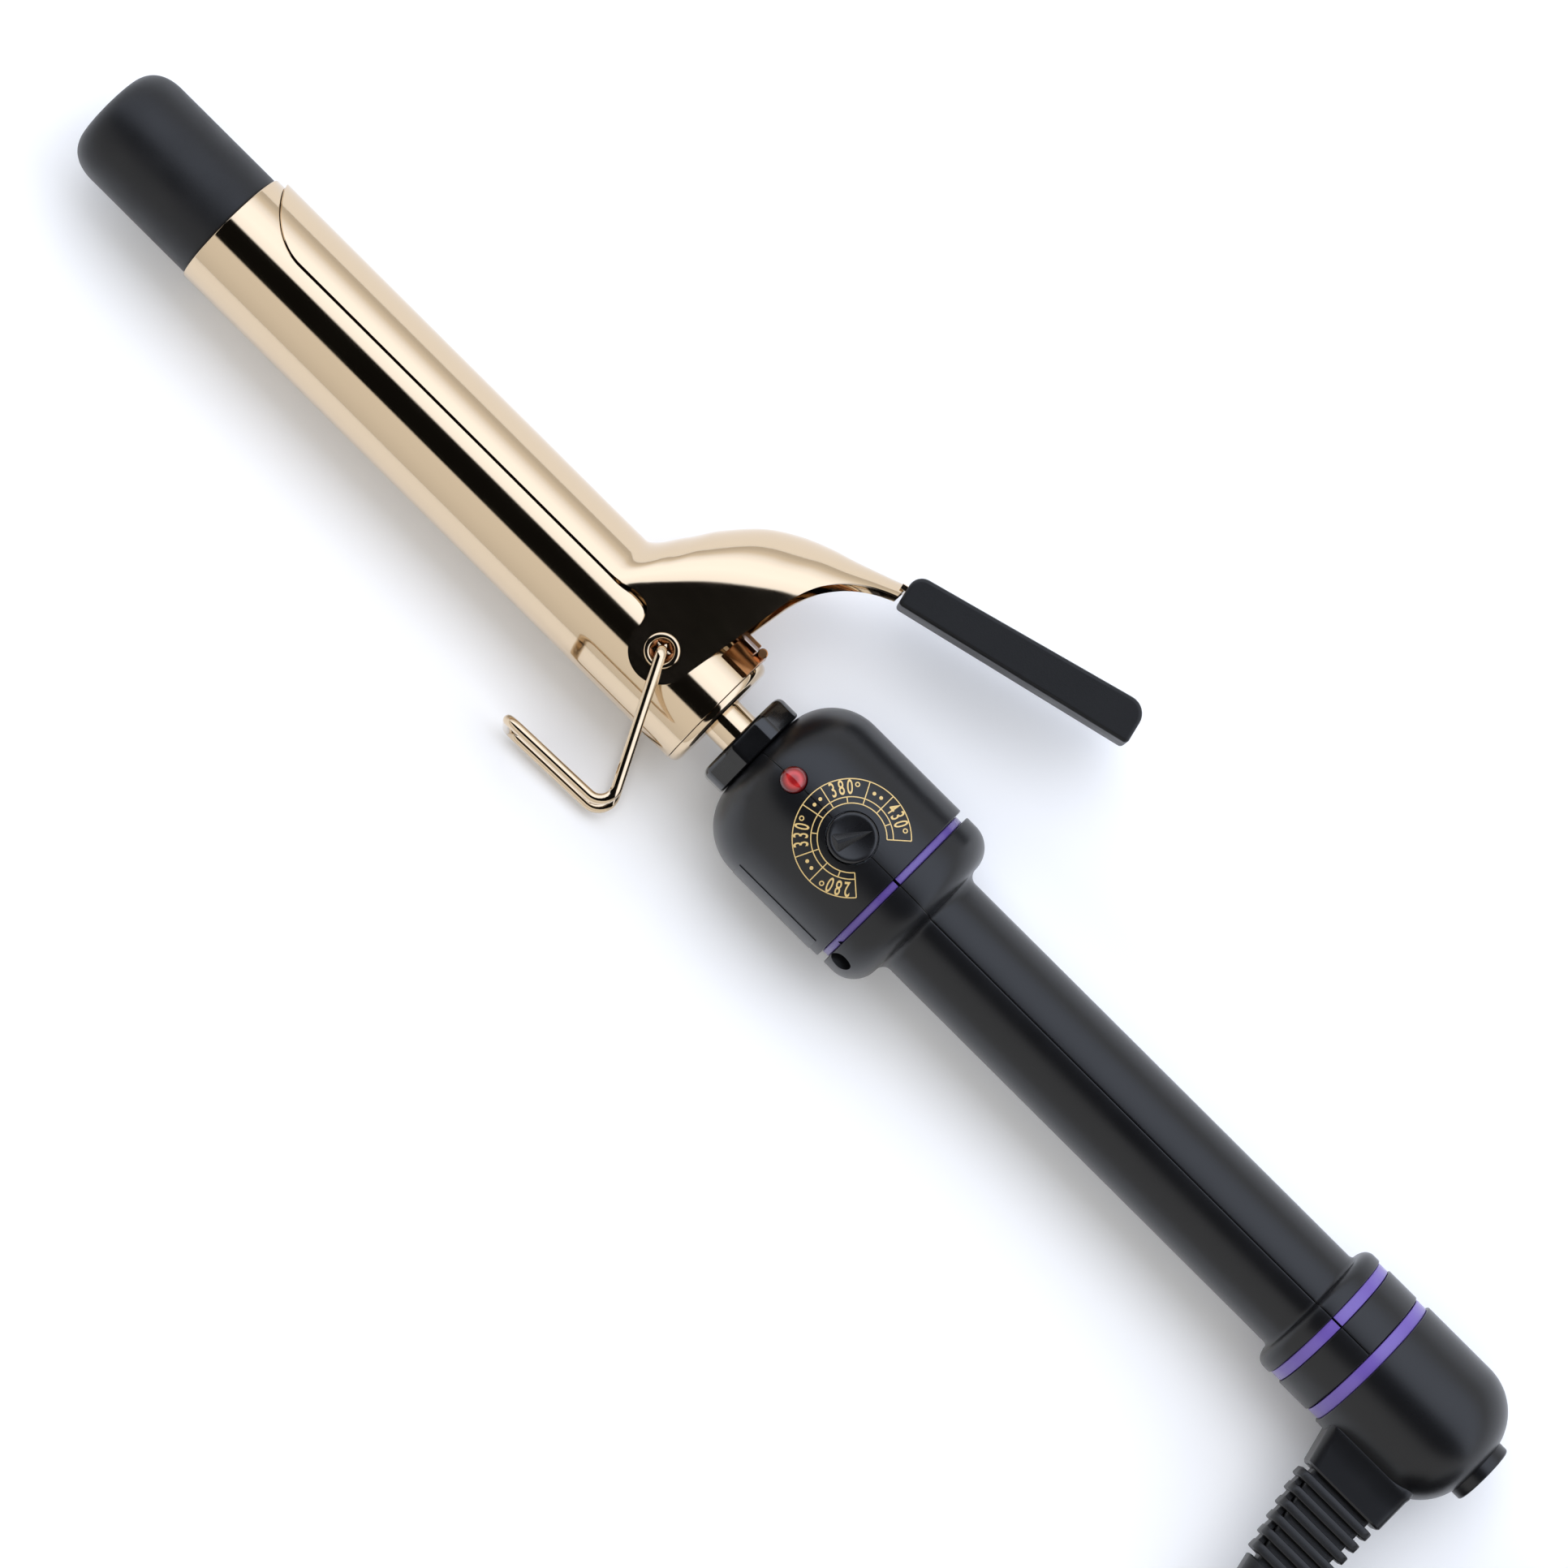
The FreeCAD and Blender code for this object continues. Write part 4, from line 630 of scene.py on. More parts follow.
def across_y(u, v, depth):
    """Drawn upright along the iron, and thick or built up across it."""
    return (u, depth, v)


brass_plate = plated("nickelled_brass", "#C9BFA2", 0.2, 0.1)
blades = []
for side, width in zip((-1, 1), BLADE_WIDTHS):
    middle_y, middle_z = plug_middle
    low_z, high_z = middle_z - width / 2, middle_z + width / 2
    x_root = x_plug_face - BLADE_ROOT
    x_chamfer = x_blade_tip - BLADE_CHAMFER
    outline = [(x_root, low_z), (x_chamfer, low_z), (x_blade_tip, low_z + BLADE_CHAMFER)]
    outline += [(x_blade_tip, high_z - BLADE_CHAMFER), (x_chamfer, high_z), (x_root, high_z)]
    middle_y += side * BLADE_SPACING / 2
    y0 = middle_y - BLADE_SHEET / 2
    blade = slab("plug_blade", outline, y0, y0 + BLADE_SHEET, [brass_plate], 0.0, lay=across_y)
    punched = arc((x_blade_tip - BLADE_HOLE_INSET, middle_z), BLADE_HOLE_R, 0, 345, 23)
    punch = slab("punch", punched, y0 - 1, y0 + BLADE_SHEET + 1, [], 0.0, lay=across_y)
    blades.append(softened(cut(blade, punch), 0.2, 2))

TIE_SHEET = 1.0
TIE_LIFT = 0.25
tie_y = [v + s * TIE_SHEET / 2 for v, s in zip(ends("cord_tie", "y"), (1, -1))]
tie_z = [v + s * TIE_SHEET / 2 for v, s in zip(ends("cord_tie", "z"), (0, -1))]
tie_z[0] += TIE_LIFT
tie_middle = ((tie_y[0] + tie_y[1]) / 2, (tie_z[0] + tie_z[1]) / 2)
tie_half_y = (tie_y[1] - tie_y[0]) / 2
tie_half_z = (tie_z[1] - tie_z[0]) / 2
strap_weave = plastic("woven_strap", "#1B1B1C", 0.8, grain_mm=0.5, grain_depth=0.8)
tie = slab(
    "cord_tie_strap",
    rounded_loop(tie_half_y + TIE_SHEET / 2, tie_half_z + TIE_SHEET / 4, 3.2, tie_middle),
    *ends("cord_tie"),
    [strap_weave],
    0.15,
    lay=along_x,
    hole=rounded_loop(tie_half_y - TIE_SHEET / 2, tie_half_z - TIE_SHEET / 4, 2.6, tie_middle),
)
for obj, finish in ((plug, "rubber_black"), (neck_rings, "rubber_black"), (tie, "rubber_black")):
    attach(obj, "swivel")
for blade in blades:
    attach(blade, "swivel")
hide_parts("plug_body")
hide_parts("cord_tie")
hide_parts("plug_blades")

# ----------------------------------------
# Cool tip. A moulded phenolic cap on the barrel's cold end, held while the hair is wound. It is turned
# in shape, domed on its face, matte all over, and pushed into the barrel on a spigot.


def turned(name, outline, materials, angles=None, lay=as_drawn, shape=None, smooth=SMOOTH):
    """A piece turned from a closed outline in (along, radius). angles in degrees run from the lever's side
    towards the dial's; a part turn is closed by its outline at both ends. shape gives a radius's share."""
    whole = angles is None
    angles = [2.5 * i for i in range(144)] if whole else angles
    points = []
    for degrees in angles:
        turn = math.radians(degrees)
        share = shape(degrees) if shape else 1.0
        for along, radius in outline:
            points.append(lay(along, radius * share * math.cos(turn), radius * share * math.sin(turn)))
    wide = len(outline)
    faces = []
    for i in range(len(angles) if whole else len(angles) - 1):
        faces += bridge(i * wide, (i + 1) % len(angles) * wide, wide)
    if not whole:
        last = (len(angles) - 1) * wide
        faces.append(tuple(range(wide)))
        faces.append(tuple(last + j for j in reversed(range(wide))))
    return mesh_piece(name, points, faces, materials, smooth)


TIP_FACE_R = 8.3
TIP_ROUNDING = 7.3
TIP_DOME = 0.5
BARREL_WALL = 0.8
x_tip, x_spigot = ends("cool_tip")
tip_r = ends("cool_tip", "z")[1]
barrel_r = ends("barrel_tube", "z")[1]
bore_r = barrel_r - BARREL_WALL
tip_full = x_tip + TIP_ROUNDING
tip_edge = (x_tip + TIP_DOME, TIP_FACE_R)
dome_pull = [(x_tip, TIP_FACE_R * 0.6), (x_tip + TIP_DOME * 0.5, TIP_FACE_R * 0.9)]
edge_pull = [(tip_edge[0] + 1.2, tip_r - 0.6), (tip_full - 2.2, tip_r)]
tip_outline = [(x_tip, 0)]
tip_outline += bezier([(x_tip, 0), *dome_pull, tip_edge])
tip_outline += bezier([tip_edge, *edge_pull, (tip_full, tip_r)], 16)
tip_outline += [(-0.5, tip_r), (0, tip_r - 0.3), (0, bore_r), (x_spigot, bore_r), (x_spigot, 0)]
phenolic = plastic("matte_phenolic", "#0E0E10", 0.45, grain_mm=0.35, grain_depth=0.25, ior=1.42)
cool_tip = turned("cool_tip_cap", tip_outline, [phenolic])
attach(cool_tip, "iron")
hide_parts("cool_tip")

# ----------------------------------------
# Barrel, its end cap and the stem. Thin drawn tube, polished and plated the colour of pale gold, which
# mirrors the room. The cap is pressed over the end, and the stem carries the barrel on the handle.
gold_plate = plated("polished_gold_plate", "#D2BDA0", 0.06)
x_barrel_end = ends("barrel_tube")[1]
x_cap_end = ends("barrel_end_cap")[1]
stem_r = ends("stem_tube", "z")[1]
STEM_WALL = 0.6


def block(x0, x1, inner, outer):
    """The outline of a plain ring or tube from x0 to x1, between two radii."""
    return [(x0, inner), (x0, outer), (x1, outer), (x1, inner)]


barrel = turned("barrel_tube_plated", eased(block(0, x_barrel_end, bore_r, barrel_r), 0.25), [gold_plate])
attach(barrel, "iron")
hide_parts("barrel_tube")

CAP_SEAM = 0.12
cap_bulge = x_cap_end - x_barrel_end
cap_start = x_barrel_end + CAP_SEAM
cap_outline = [(cap_start, bore_r), (cap_start, barrel_r - 0.1)]
cap_outline += arc((cap_start, barrel_r - cap_bulge), cap_bulge - CAP_SEAM, 86, 0, 10)
cap_outline += [(x_cap_end - CAP_SEAM, stem_r + 0.6), (x_cap_end - 0.5, stem_r), (x_cap_end - 1.0, stem_r)]
end_cap = turned("barrel_end_cap_plated", cap_outline, [gold_plate])
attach(end_cap, "iron")
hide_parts("barrel_end_cap")

x_stem, x_stem_end = ends("stem_tube")
stem_outline = eased(block(x_stem, x_stem_end, stem_r - STEM_WALL, stem_r), 0.15)
stem = turned("stem_tube_plated", stem_outline, [gold_plate])
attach(stem, "iron")
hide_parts("stem_tube")

# ----------------------------------------
# Heater inside the barrel. A fired core with a ridged winding under rolled mica, a sensor bead on the
# tube's wall and two sleeved leads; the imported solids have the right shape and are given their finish.


def dress(node, material):
    """Gives a carried-over node its material."""
    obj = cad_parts[node]
    obj.data.materials.clear()
    obj.data.materials.append(material)


dress("heater_core", plastic("fired_ceramic", "#E6E0D2", 0.6, grain_mm=0.25, grain_depth=0.4))
dress("heater_winding", plated("resistance_wire", "#8D8780", 0.3, 0.15))
dress("mica_sleeve", plastic("rolled_mica", "#B39B76", 0.4, grain_mm=2.0, grain_depth=0.3))
dress("lead_wires", plastic("glass_fibre_sleeving", "#D9D5CA", 0.7, grain_mm=0.4, grain_depth=0.6))

# ----------------------------------------
# Clip and lever. One pressed sheet, plated like the barrel: a half tube that lies on the barrel, which
# rises into an arched lever with flat cheeks; the cheeks end in round ears that the hinge goes through.
CLIP_SHEET = 0.6
CLIP_NOSE = 13.6
CLIP_WRAP = 74.4
EAR_R = 6.4
NOSE_STEPS = 24
EDGE_STEPS = 24
SHOULDER_STEPS = 10
SHOULDER_RISE = 0.9
SECTION_STEPS = 56
FINE_STEPS = 60
EDGE_MERGE = 0.004
HINGE_HOLE_R = 2.9
clip_r = ends("clamp_clip", "z")[1]
x_clip = ends("clamp_clip")[0]
eyelet_low, eyelet_high = ends("pivot_eyelets")
x_pivot = (eyelet_low + eyelet_high) / 2
# The lever's sections: distance from the pivot, height of the ridge, height where the flat cheeks start
# to arch over, and half the width.
LEVER = (
    (-17.5, clip_r, 0.0, clip_r),
    (-12.0, clip_r + 6.3, 5.6, clip_r),
    (-8.9, clip_r + 11.0, 8.8, clip_r),
    (-3.2, clip_r + 17.3, 14.5, clip_r),
    (2.5, clip_r + 21.1, 19.3, clip_r),
    (8.2, clip_r + 23.6, 23.6, clip_r - 0.1),
    (13.9, clip_r + 25.4, 27.6, clip_r - 2.3),
    (19.6, clip_r + 27.4, 32.2, clip_r - 5.2),
    (24.0, clip_r + 29.0, 36.2, clip_r - 6.9),
)
edge_y = clip_r * math.cos(math.radians(CLIP_WRAP))


def lever_at(along):
    """Ridge, spring line and half width at a distance from the pivot, smoothly between the sections."""
    if along <= LEVER[0][0]:
        return LEVER[0][1:]
    slopes = []
    for i in range(len(LEVER)):
        before = LEVER[max(i - 1, 0)]
        after = LEVER[min(i + 1, len(LEVER) - 1)]
        run = after[0] - before[0]
        slopes.append([0.0 if i == 0 else (after[k] - before[k]) / run for k in (1, 2, 3)])
    i = max(k for k in range(len(LEVER) - 1) if LEVER[k][0] <= along)
    run = LEVER[i + 1][0] - LEVER[i][0]
    t = (along - LEVER[i][0]) / run
    values = []
    for k in range(3):
        a, b = LEVER[i][k + 1], LEVER[i + 1][k + 1]
        rise = (2 * t**3 - 3 * t**2 + 1) * a + (3 * t**2 - 2 * t**3) * b
        bend = (t**3 - 2 * t**2 + t) * slopes[i][k] + (t**3 - t**2) * slopes[i + 1][k]
        values.append(rise + bend * run)
    return values


def clip_edge():
    """The lower edge of the clip and lever seen from the dial's side, from the nose to the lever's end."""
    edge = []
    for i in range(NOSE_STEPS + 1):
        way = math.sin(math.pi / 2 * i / NOSE_STEPS)
        x = x_clip + CLIP_NOSE * (1 - math.sqrt(1 - way * way))
        edge.append((x, clip_r * math.cos(math.radians(CLIP_WRAP) * way)))
    spoon_end = x_pivot + LEVER[0][0]
    nose_end = edge[-1][0]
    for i in range(1, EDGE_STEPS + 1):
        edge.append((nose_end + (spoon_end - nose_end) * i / EDGE_STEPS, edge_y))
    shoulder = (x_pivot - 11.8, edge_y + SHOULDER_RISE)
    for i in range(1, SHOULDER_STEPS + 1):
        way = i / SHOULDER_STEPS
        edge.append((spoon_end + (shoulder[0] - spoon_end) * way, edge_y + SHOULDER_RISE * way**2))
    lobe = arc((x_pivot, 0), EAR_R, 174, 359, 48)
    edge += bezier([shoulder, (x_pivot - 7.3, edge_y + 1.3), (x_pivot - 6.9, edge_y - 0.4), lobe[0]], 20)
    edge += lobe[1:]
    heel = (x_pivot + 10.3, clip_r + 10.1)
    for i in range(1, EDGE_STEPS + 1):
        edge.append((lobe[-1][0] + (heel[0] - lobe[-1][0]) * i / EDGE_STEPS, heel[1] * i / EDGE_STEPS))
    edge += bezier([heel, (x_pivot + 12.7, clip_r + 21.5), (x_pivot + 24.0, clip_r + 25.8)], 30)
    return edge


def clip_section(x, low):
    """The sheet's outside across the iron at x, from its lower edge on one side over to the other."""
    ridge, spring_line, half_width = lever_at(x - x_pivot)
    rise = ridge - spring_line
    start = math.asin(min(max((low - spring_line) / rise, 0), 1))
    flat = max(spring_line - low, 0)
    fine = [start + (math.pi / 2 - start) * i / FINE_STEPS for i in range(FINE_STEPS + 1)]
    side = [(low, half_width)] if flat else []
    side += [(spring_line + rise * math.sin(a), half_width * math.cos(a)) for a in fine]
    lengths = [0.0]
    for a, b in zip(side, side[1:]):
        lengths.append(lengths[-1] + math.dist(a, b))
    across = []
    j = 0
    for i in range(SECTION_STEPS + 1):
        want = lengths[-1] * i / SECTION_STEPS
        while j < len(side) - 2 and lengths[j + 1] < want:
            j += 1
        share = (want - lengths[j]) / max(lengths[j + 1] - lengths[j], 1e-9)
        y, z = (side[j][k] + (side[j + 1][k] - side[j][k]) * share for k in (0, 1))
        across.append((x, y, z))
    return across + [(x, y, -z) for x, y, z in reversed(across[:-1])]


def upright(x):
    """How a piece lies that is turned about an upright line at x."""
    return lambda along, across, turned_across: (x + across, turned_across, along)


def grid_faces(rows, columns):
    """Faces between neighbouring points of an open grid, its rows one after another."""
    corners = [i * columns + j for i in range(rows - 1) for j in range(columns - 1)]
    return [(one, one + 1, one + columns + 1, one + columns) for one in corners]


edge = []
for x, low in clip_edge():
    if not edge or x > edge[-1][0] + EDGE_MERGE:
        edge.append((x, low))
rows = [clip_section(x, low) for x, low in edge]
clip_points = [point for row in rows for point in row]
clip = mesh_piece("clip_and_lever", clip_points, grid_faces(len(rows), len(rows[0])), [gold_plate], smooth=50)
outer_area = sum(face.area * face.normal.dot(Vector((0, 1, 0))) for face in clip.data.polygons)
if outer_area < 0:
    clip.data.flip_normals()
wall = clip.modifiers.new("wall", "SOLIDIFY")
wall.thickness = CLIP_SHEET * MM
wall.offset = -1.0
wall.use_even_offset = True
baked(clip)
hole_outline = block(-clip_r - 4, clip_r + 4, 0, HINGE_HOLE_R)
cut(clip, turned("hinge_hole", hole_outline, [], lay=upright(x_pivot)))
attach(clip, "clip")
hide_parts("clamp_clip")

# ----------------------------------------
# Thumb rest. A moulded black sleeve pushed on the flat end of the lever, matt so that a thumb holds on
# it; the lever's tongue runs the length of it.
REST_LENGTH = 50.8
REST_DEPTH_FRONT = 6.9
REST_DEPTH_REAR = 8.4
REST_SLOPE = math.radians(13.4)
REST_EDGE = 1.4
TONGUE_WIDTH = 9.6
TONGUE_HALF = 0.6
TONGUE_LEAD = 1.2
# How round each corner of its side is: lower front, lower rear, upper rear, upper front.
REST_CORNERS = (0.8, 0.9, 3.6, 2.8)
REST_CORNER_STEPS = 8
rest_low = Vector((x_pivot + 25.1, clip_r + 24.7))
rest_along = Vector((math.cos(REST_SLOPE), math.sin(REST_SLOPE)))
rest_up = Vector((-rest_along.y, rest_along.x))
rest_end = rest_low + rest_along * REST_LENGTH
rest_corners = [rest_low, rest_end]
rest_corners += [rest_end + rest_up * REST_DEPTH_REAR, rest_low + rest_up * REST_DEPTH_FRONT]
rest_outline = []
for i, radius in enumerate(REST_CORNERS):
    rounded = eased([tuple(c) for c in rest_corners], radius, REST_CORNER_STEPS)
    first = i * (REST_CORNER_STEPS + 1)
    rest_outline += rounded[first : first + REST_CORNER_STEPS + 1]
rest_width = ends("thumb_rest", "z")[1]
soft_black = plastic("matte_moulded_sleeve", "#0B0B0C", 0.45, grain_mm=0.3, grain_depth=0.3, ior=1.4)
thumb_rest = slab("thumb_rest_sleeve", rest_outline, -rest_width, rest_width, [soft_black], REST_EDGE, 5)
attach(thumb_rest, "clip")
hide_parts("thumb_rest")

tongue_start = rest_low + rest_up * (REST_DEPTH_FRONT * 0.5) - rest_along * TONGUE_LEAD
tongue_end = tongue_start + rest_along * (REST_LENGTH - 1)
thick = rest_up * TONGUE_HALF
tongue_corners = (tongue_start - thick, tongue_end - thick, tongue_end + thick, tongue_start + thick)
tongue_outline = [tuple(corner) for corner in tongue_corners]
tongue = slab("lever_tongue", tongue_outline, -TONGUE_WIDTH / 2, TONGUE_WIDTH / 2, [gold_plate], 0.15)
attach(tongue, "clip")

# ----------------------------------------
# Hinge eyelets. A plated tubular rivet on each side holds the ear to the barrel; its end is split into
# six petals that are rolled down inside its mouth, and the stand's wire end sits in the middle.
EYELET_R = 2.7
EYELET_MOUTH_R = 2.3
EYELET_FLANGE = 0.7
EYELET_TAIL = 1.7
FLOOR_OUTSIDE = 12.6
FLOOR_INSIDE = 12.3
FLOOR_R = 2.25
PETALS = 6
PETAL_SHEET = 0.22
PETAL_ROWS = 7
PETAL_COLUMNS = 9
PETAL_LENGTH = 1.15
PETAL_TOP = 0.15
PETAL_CURL = 0.22
eyelet_top = ends("pivot_eyelets", "z")[1]
eyelet_flange_r = (eyelet_high - eyelet_low) / 2
eyelet_under = eyelet_top - EYELET_FLANGE


def eyelet_ring(name, side):
    """The rivet's rolled head outside the ear, with its tube through the ear and the barrel's wall."""
    outline = [
        (eyelet_under, EYELET_R),
        (eyelet_under, eyelet_flange_r),
        (eyelet_top, eyelet_flange_r),
        (eyelet_top, EYELET_MOUTH_R),
        (bore_r - EYELET_TAIL, EYELET_MOUTH_R),
        (bore_r - EYELET_TAIL, EYELET_R),
    ]
    rounded = eased(outline, 0.33)
    return turned(name, [(side * z, r) for z, r in rounded], [gold_plate], lay=upright(x_pivot))


def petal(side):
    """One petal, from the mouth's edge down towards the middle, about the origin."""
    points = []
    for i in range(PETAL_ROWS + 1):
        way = i / PETAL_ROWS
        radius = EYELET_MOUTH_R - 0.03 - PETAL_LENGTH * way
        sink = PETAL_TOP + way * way
        reach = math.pi / PETALS * (1 - 0.72 * way**1.4)
        for j in range(PETAL_COLUMNS):
            across = 2 * j / (PETAL_COLUMNS - 1) - 1
            turn = across * reach
            curl = PETAL_CURL * (1 - across**2)
            points.append((radius * math.cos(turn), radius * math.sin(turn), side * (curl - sink)))
    obj = mesh_piece("petal", points, grid_faces(PETAL_ROWS + 1, PETAL_COLUMNS), [])
    skin = obj.modifiers.new("skin", "SOLIDIFY")
    skin.thickness = PETAL_SHEET * MM
    return baked(obj)


bronze = plated("bronzed_rivet_petals", "#8A5A38", 0.2, 0.1)
for side, word in ((1, "dial_side"), (-1, "table_side")):
    ring = eyelet_ring("eyelet_" + word, side)
    petals = repeated(
        "eyelet_petals_" + word,
        petal(side),
        bronze,
        (x_pivot, 0, side * (eyelet_top - 0.1)),
        Count=PETALS,
        Turn=2 * math.pi / PETALS,
        Unevenness=0.05,
        Seed=3,
    )
    floor_outline = block(side * FLOOR_OUTSIDE, side * FLOOR_INSIDE, 0, FLOOR_R)
    floor = turned("eyelet_floor_" + word, floor_outline, [bronze], lay=upright(x_pivot))
    for obj in (ring, petals, floor):
        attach(obj, "iron")
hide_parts("pivot_eyelets")

# ----------------------------------------
# Spring and saddle. A strap of coppery spring steel is spot welded over the barrel's end and rolled
# along its rear edge; a bent leaf rests in the roll and pushes the lever up.
SADDLE_LENGTH = 6.0
SADDLE_WRAP = 52.0
SADDLE_SHEET = 0.8
SADDLE_LIP_R = 1.0
SADDLE_SINK = 0.02
SPRING_SHEET = 0.7
spring_half = ends("clip_spring", "z")[1]
copper_steel = plated("coppery_spring_steel", "#C08A5C", 0.16, 0.08)
saddle_r = barrel_r + SADDLE_SHEET


def sweep(reach, steps, middle=0):
    """Angles from one reach before the middle to one reach after it."""
    return [middle - reach + 2 * reach * i / steps for i in range(steps + 1)]


x_saddle = x_barrel_end - SADDLE_LENGTH
strap_outline = eased(block(x_saddle, x_barrel_end, barrel_r - SADDLE_SINK, saddle_r), 0.2)
strap = turned("spring_saddle_strap", strap_outline, [copper_steel], sweep(SADDLE_WRAP, 40))
roll_outline = arc((x_barrel_end - SADDLE_LIP_R, saddle_r + 0.2), SADDLE_LIP_R, 0, 345, 23)
roll = slab("spring_saddle_roll", roll_outline, -spring_half - 1, spring_half + 1, [copper_steel], 0.2)
for obj in (strap, roll):
    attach(obj, "iron")
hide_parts("spring_saddle")

spring_low = saddle_r + SPRING_SHEET + 0.1
spring_top = clip_r + 17.6
# It starts flat in the roll, turns back on itself ahead of the pivot, and ends under the lever.
spring_start = (x_barrel_end - 2.2, spring_low)
spring_bend = [(x_pivot - 4.8, spring_low + 0.2), (x_pivot - 4.8, spring_low + 4.0)]
spring_bend += [(x_pivot - 2.6, (spring_low + spring_top) / 2)]
spring_line = [spring_start]
spring_line += bezier([spring_start, (x_pivot + 2, spring_low), (x_pivot - 2, spring_low)], 8)
spring_line += bezier([spring_line[-1], *spring_bend], 10)
spring_line += bezier([spring_line[-1], (x_pivot - 0.5, spring_top - 3.0), (x_pivot + 4.5, spring_top)], 10)


def ribbon(line, thickness):
    """The outline of a strip of the given thickness that follows a line."""
    upper = []
    lower = []
    for i, here in enumerate(line):
        ahead = Vector(line[min(i + 1, len(line) - 1)]) - Vector(line[max(i - 1, 0)])
        side = Vector((-ahead.y, ahead.x)).normalized() * thickness / 2
        upper.append((here[0] + side.x, here[1] + side.y))
        lower.append((here[0] - side.x, here[1] - side.y))
    return upper + lower[::-1]


leaf_outline = ribbon(spring_line, SPRING_SHEET)
leaf = slab("clip_spring_leaf", leaf_outline, -spring_half, spring_half, [copper_steel], 0.12)
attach(leaf, "iron")
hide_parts("clip_spring")
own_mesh(leaf)

# ----------------------------------------
# Wire stand. One length of drawn steel wire, plated gold: its ends turn in through the eyelets, and its
# legs fold out to a crossbar that holds the hot barrel off the table.
STAND_WIRE_R = 1.08
STAND_CORNER = (14.5, -28.8)
STAND_FOOT = (-11.2, -29.6)
STAND_BENDS = (1.4, 3.2, 3.2, 3.2, 3.2, 1.4)
BEND_STEPS = 10
WIRE_ROUNDNESS = 6


def bent_line(points, radii):
    """Points along a wire that is bent to the given radius at each corner between its ends."""
    line = [Vector(points[0])]
    for i, radius in enumerate(radii, 1):
        here = Vector(points[i])
        back = (Vector(points[i - 1]) - here).normalized()
        ahead = (Vector(points[i + 1]) - here).normalized()
        half = (math.pi - back.angle(ahead)) / 2
        middle = here + (back + ahead).normalized() * radius / math.cos(half)
        start = here + back * radius * math.tan(half) - middle
        for j in range(BEND_STEPS + 1):
            turn = Matrix.Rotation(2 * half * j / BEND_STEPS, 3, back.cross(ahead) * -1)
            line.append(middle + turn @ start)
    return line + [Vector(points[-1])]


def wire(name, line, radius, materials):
    """A round wire through points in millimetres, as a plain mesh."""
    curve = bpy.data.curves.new(name, "CURVE")
    curve.dimensions = "3D"
    curve.bevel_depth = radius * MM
    curve.bevel_resolution = WIRE_ROUNDNESS
    curve.use_fill_caps = True
    spline = curve.splines.new("POLY")
    spline.points.add(len(line) - 1)
    for point, place in zip(spline.points, line):
        point.co = (*on_axis(*place), 1.0)
    source = placed(name, curve)
    mesh = plain_mesh(source)
    bpy.data.objects.remove(source)
    mesh.materials.clear()
    form = bmesh.new()
    form.from_mesh(mesh)
    bmesh.ops.remove_doubles(form, verts=form.verts, dist=WELD)
    form.to_mesh(mesh)
    form.free()
    return finish_mesh(name, mesh, materials, 50)


leg_z = ends("stand_wire", "z")[1] - STAND_WIRE_R
inner_z = bore_r - 1.9
stand_corner = (x_pivot + STAND_CORNER[0], STAND_CORNER[1])
stand_foot = (x_pivot + STAND_FOOT[0], STAND_FOOT[1])
stand_points = [
    (x_pivot, 0, inner_z),
    (x_pivot, 0, leg_z),
    (*stand_corner, leg_z),
    (*stand_foot, leg_z),
    (*stand_foot, -leg_z),
    (*stand_corner, -leg_z),
    (x_pivot, 0, -leg_z),
    (x_pivot, 0, -inner_z),
]
stand = wire("stand_wire_plated", bent_line(stand_points, STAND_BENDS), STAND_WIRE_R, [gold_plate])
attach(stand, "stand")
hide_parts("stand_wire")

# ----------------------------------------
# Collar. A glossy phenolic nut with eight sides that the stem goes through; the handle's halves close on
# its neck, and it keeps the heat of the stem away from them.
COLLAR_ACROSS = 20.5
COLLAR_CORNER_SHARE = 1.048
COLLAR_NECK_R = 7.0
COLLAR_ROUND = 1.5
x_collar, x_collar_neck = ends("collar_nut")
x_head = ends("handle_shell_lever_side")[0]


def eight_sided(degrees):
    """The share of the flat's distance from the middle at an angle, with its corners cut round."""
    across = (degrees + 22.5) % 45 - 22.5
    return min(1 / math.cos(math.radians(across)), COLLAR_CORNER_SHARE)


gloss_black = plastic("glossy_phenolic", "#0C0C0D", 0.12, mottle=0.03, coat=0.2)
collar_half = COLLAR_ACROSS / 2
collar_outline = [(x_collar, stem_r + 0.15)]
collar_outline += arc((x_collar + COLLAR_ROUND, collar_half - COLLAR_ROUND), COLLAR_ROUND, 180, 90, 8)
collar_outline += [(x_head - 0.35, collar_half), (x_head - 0.1, collar_half - 0.25)]
collar_outline += [(x_head, collar_half - 0.5), (x_head, stem_r + 0.15)]
collar = turned("collar_nut_moulding", collar_outline, [gloss_black], shape=eight_sided)
neck_outline = block(x_head - 0.2, x_collar_neck, stem_r + 0.1, COLLAR_NECK_R - 0.05)
collar_neck = turned("collar_nut_neck", neck_outline, [gloss_black])
for obj in (collar, collar_neck):
    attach(obj, "iron")
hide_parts("collar_nut")

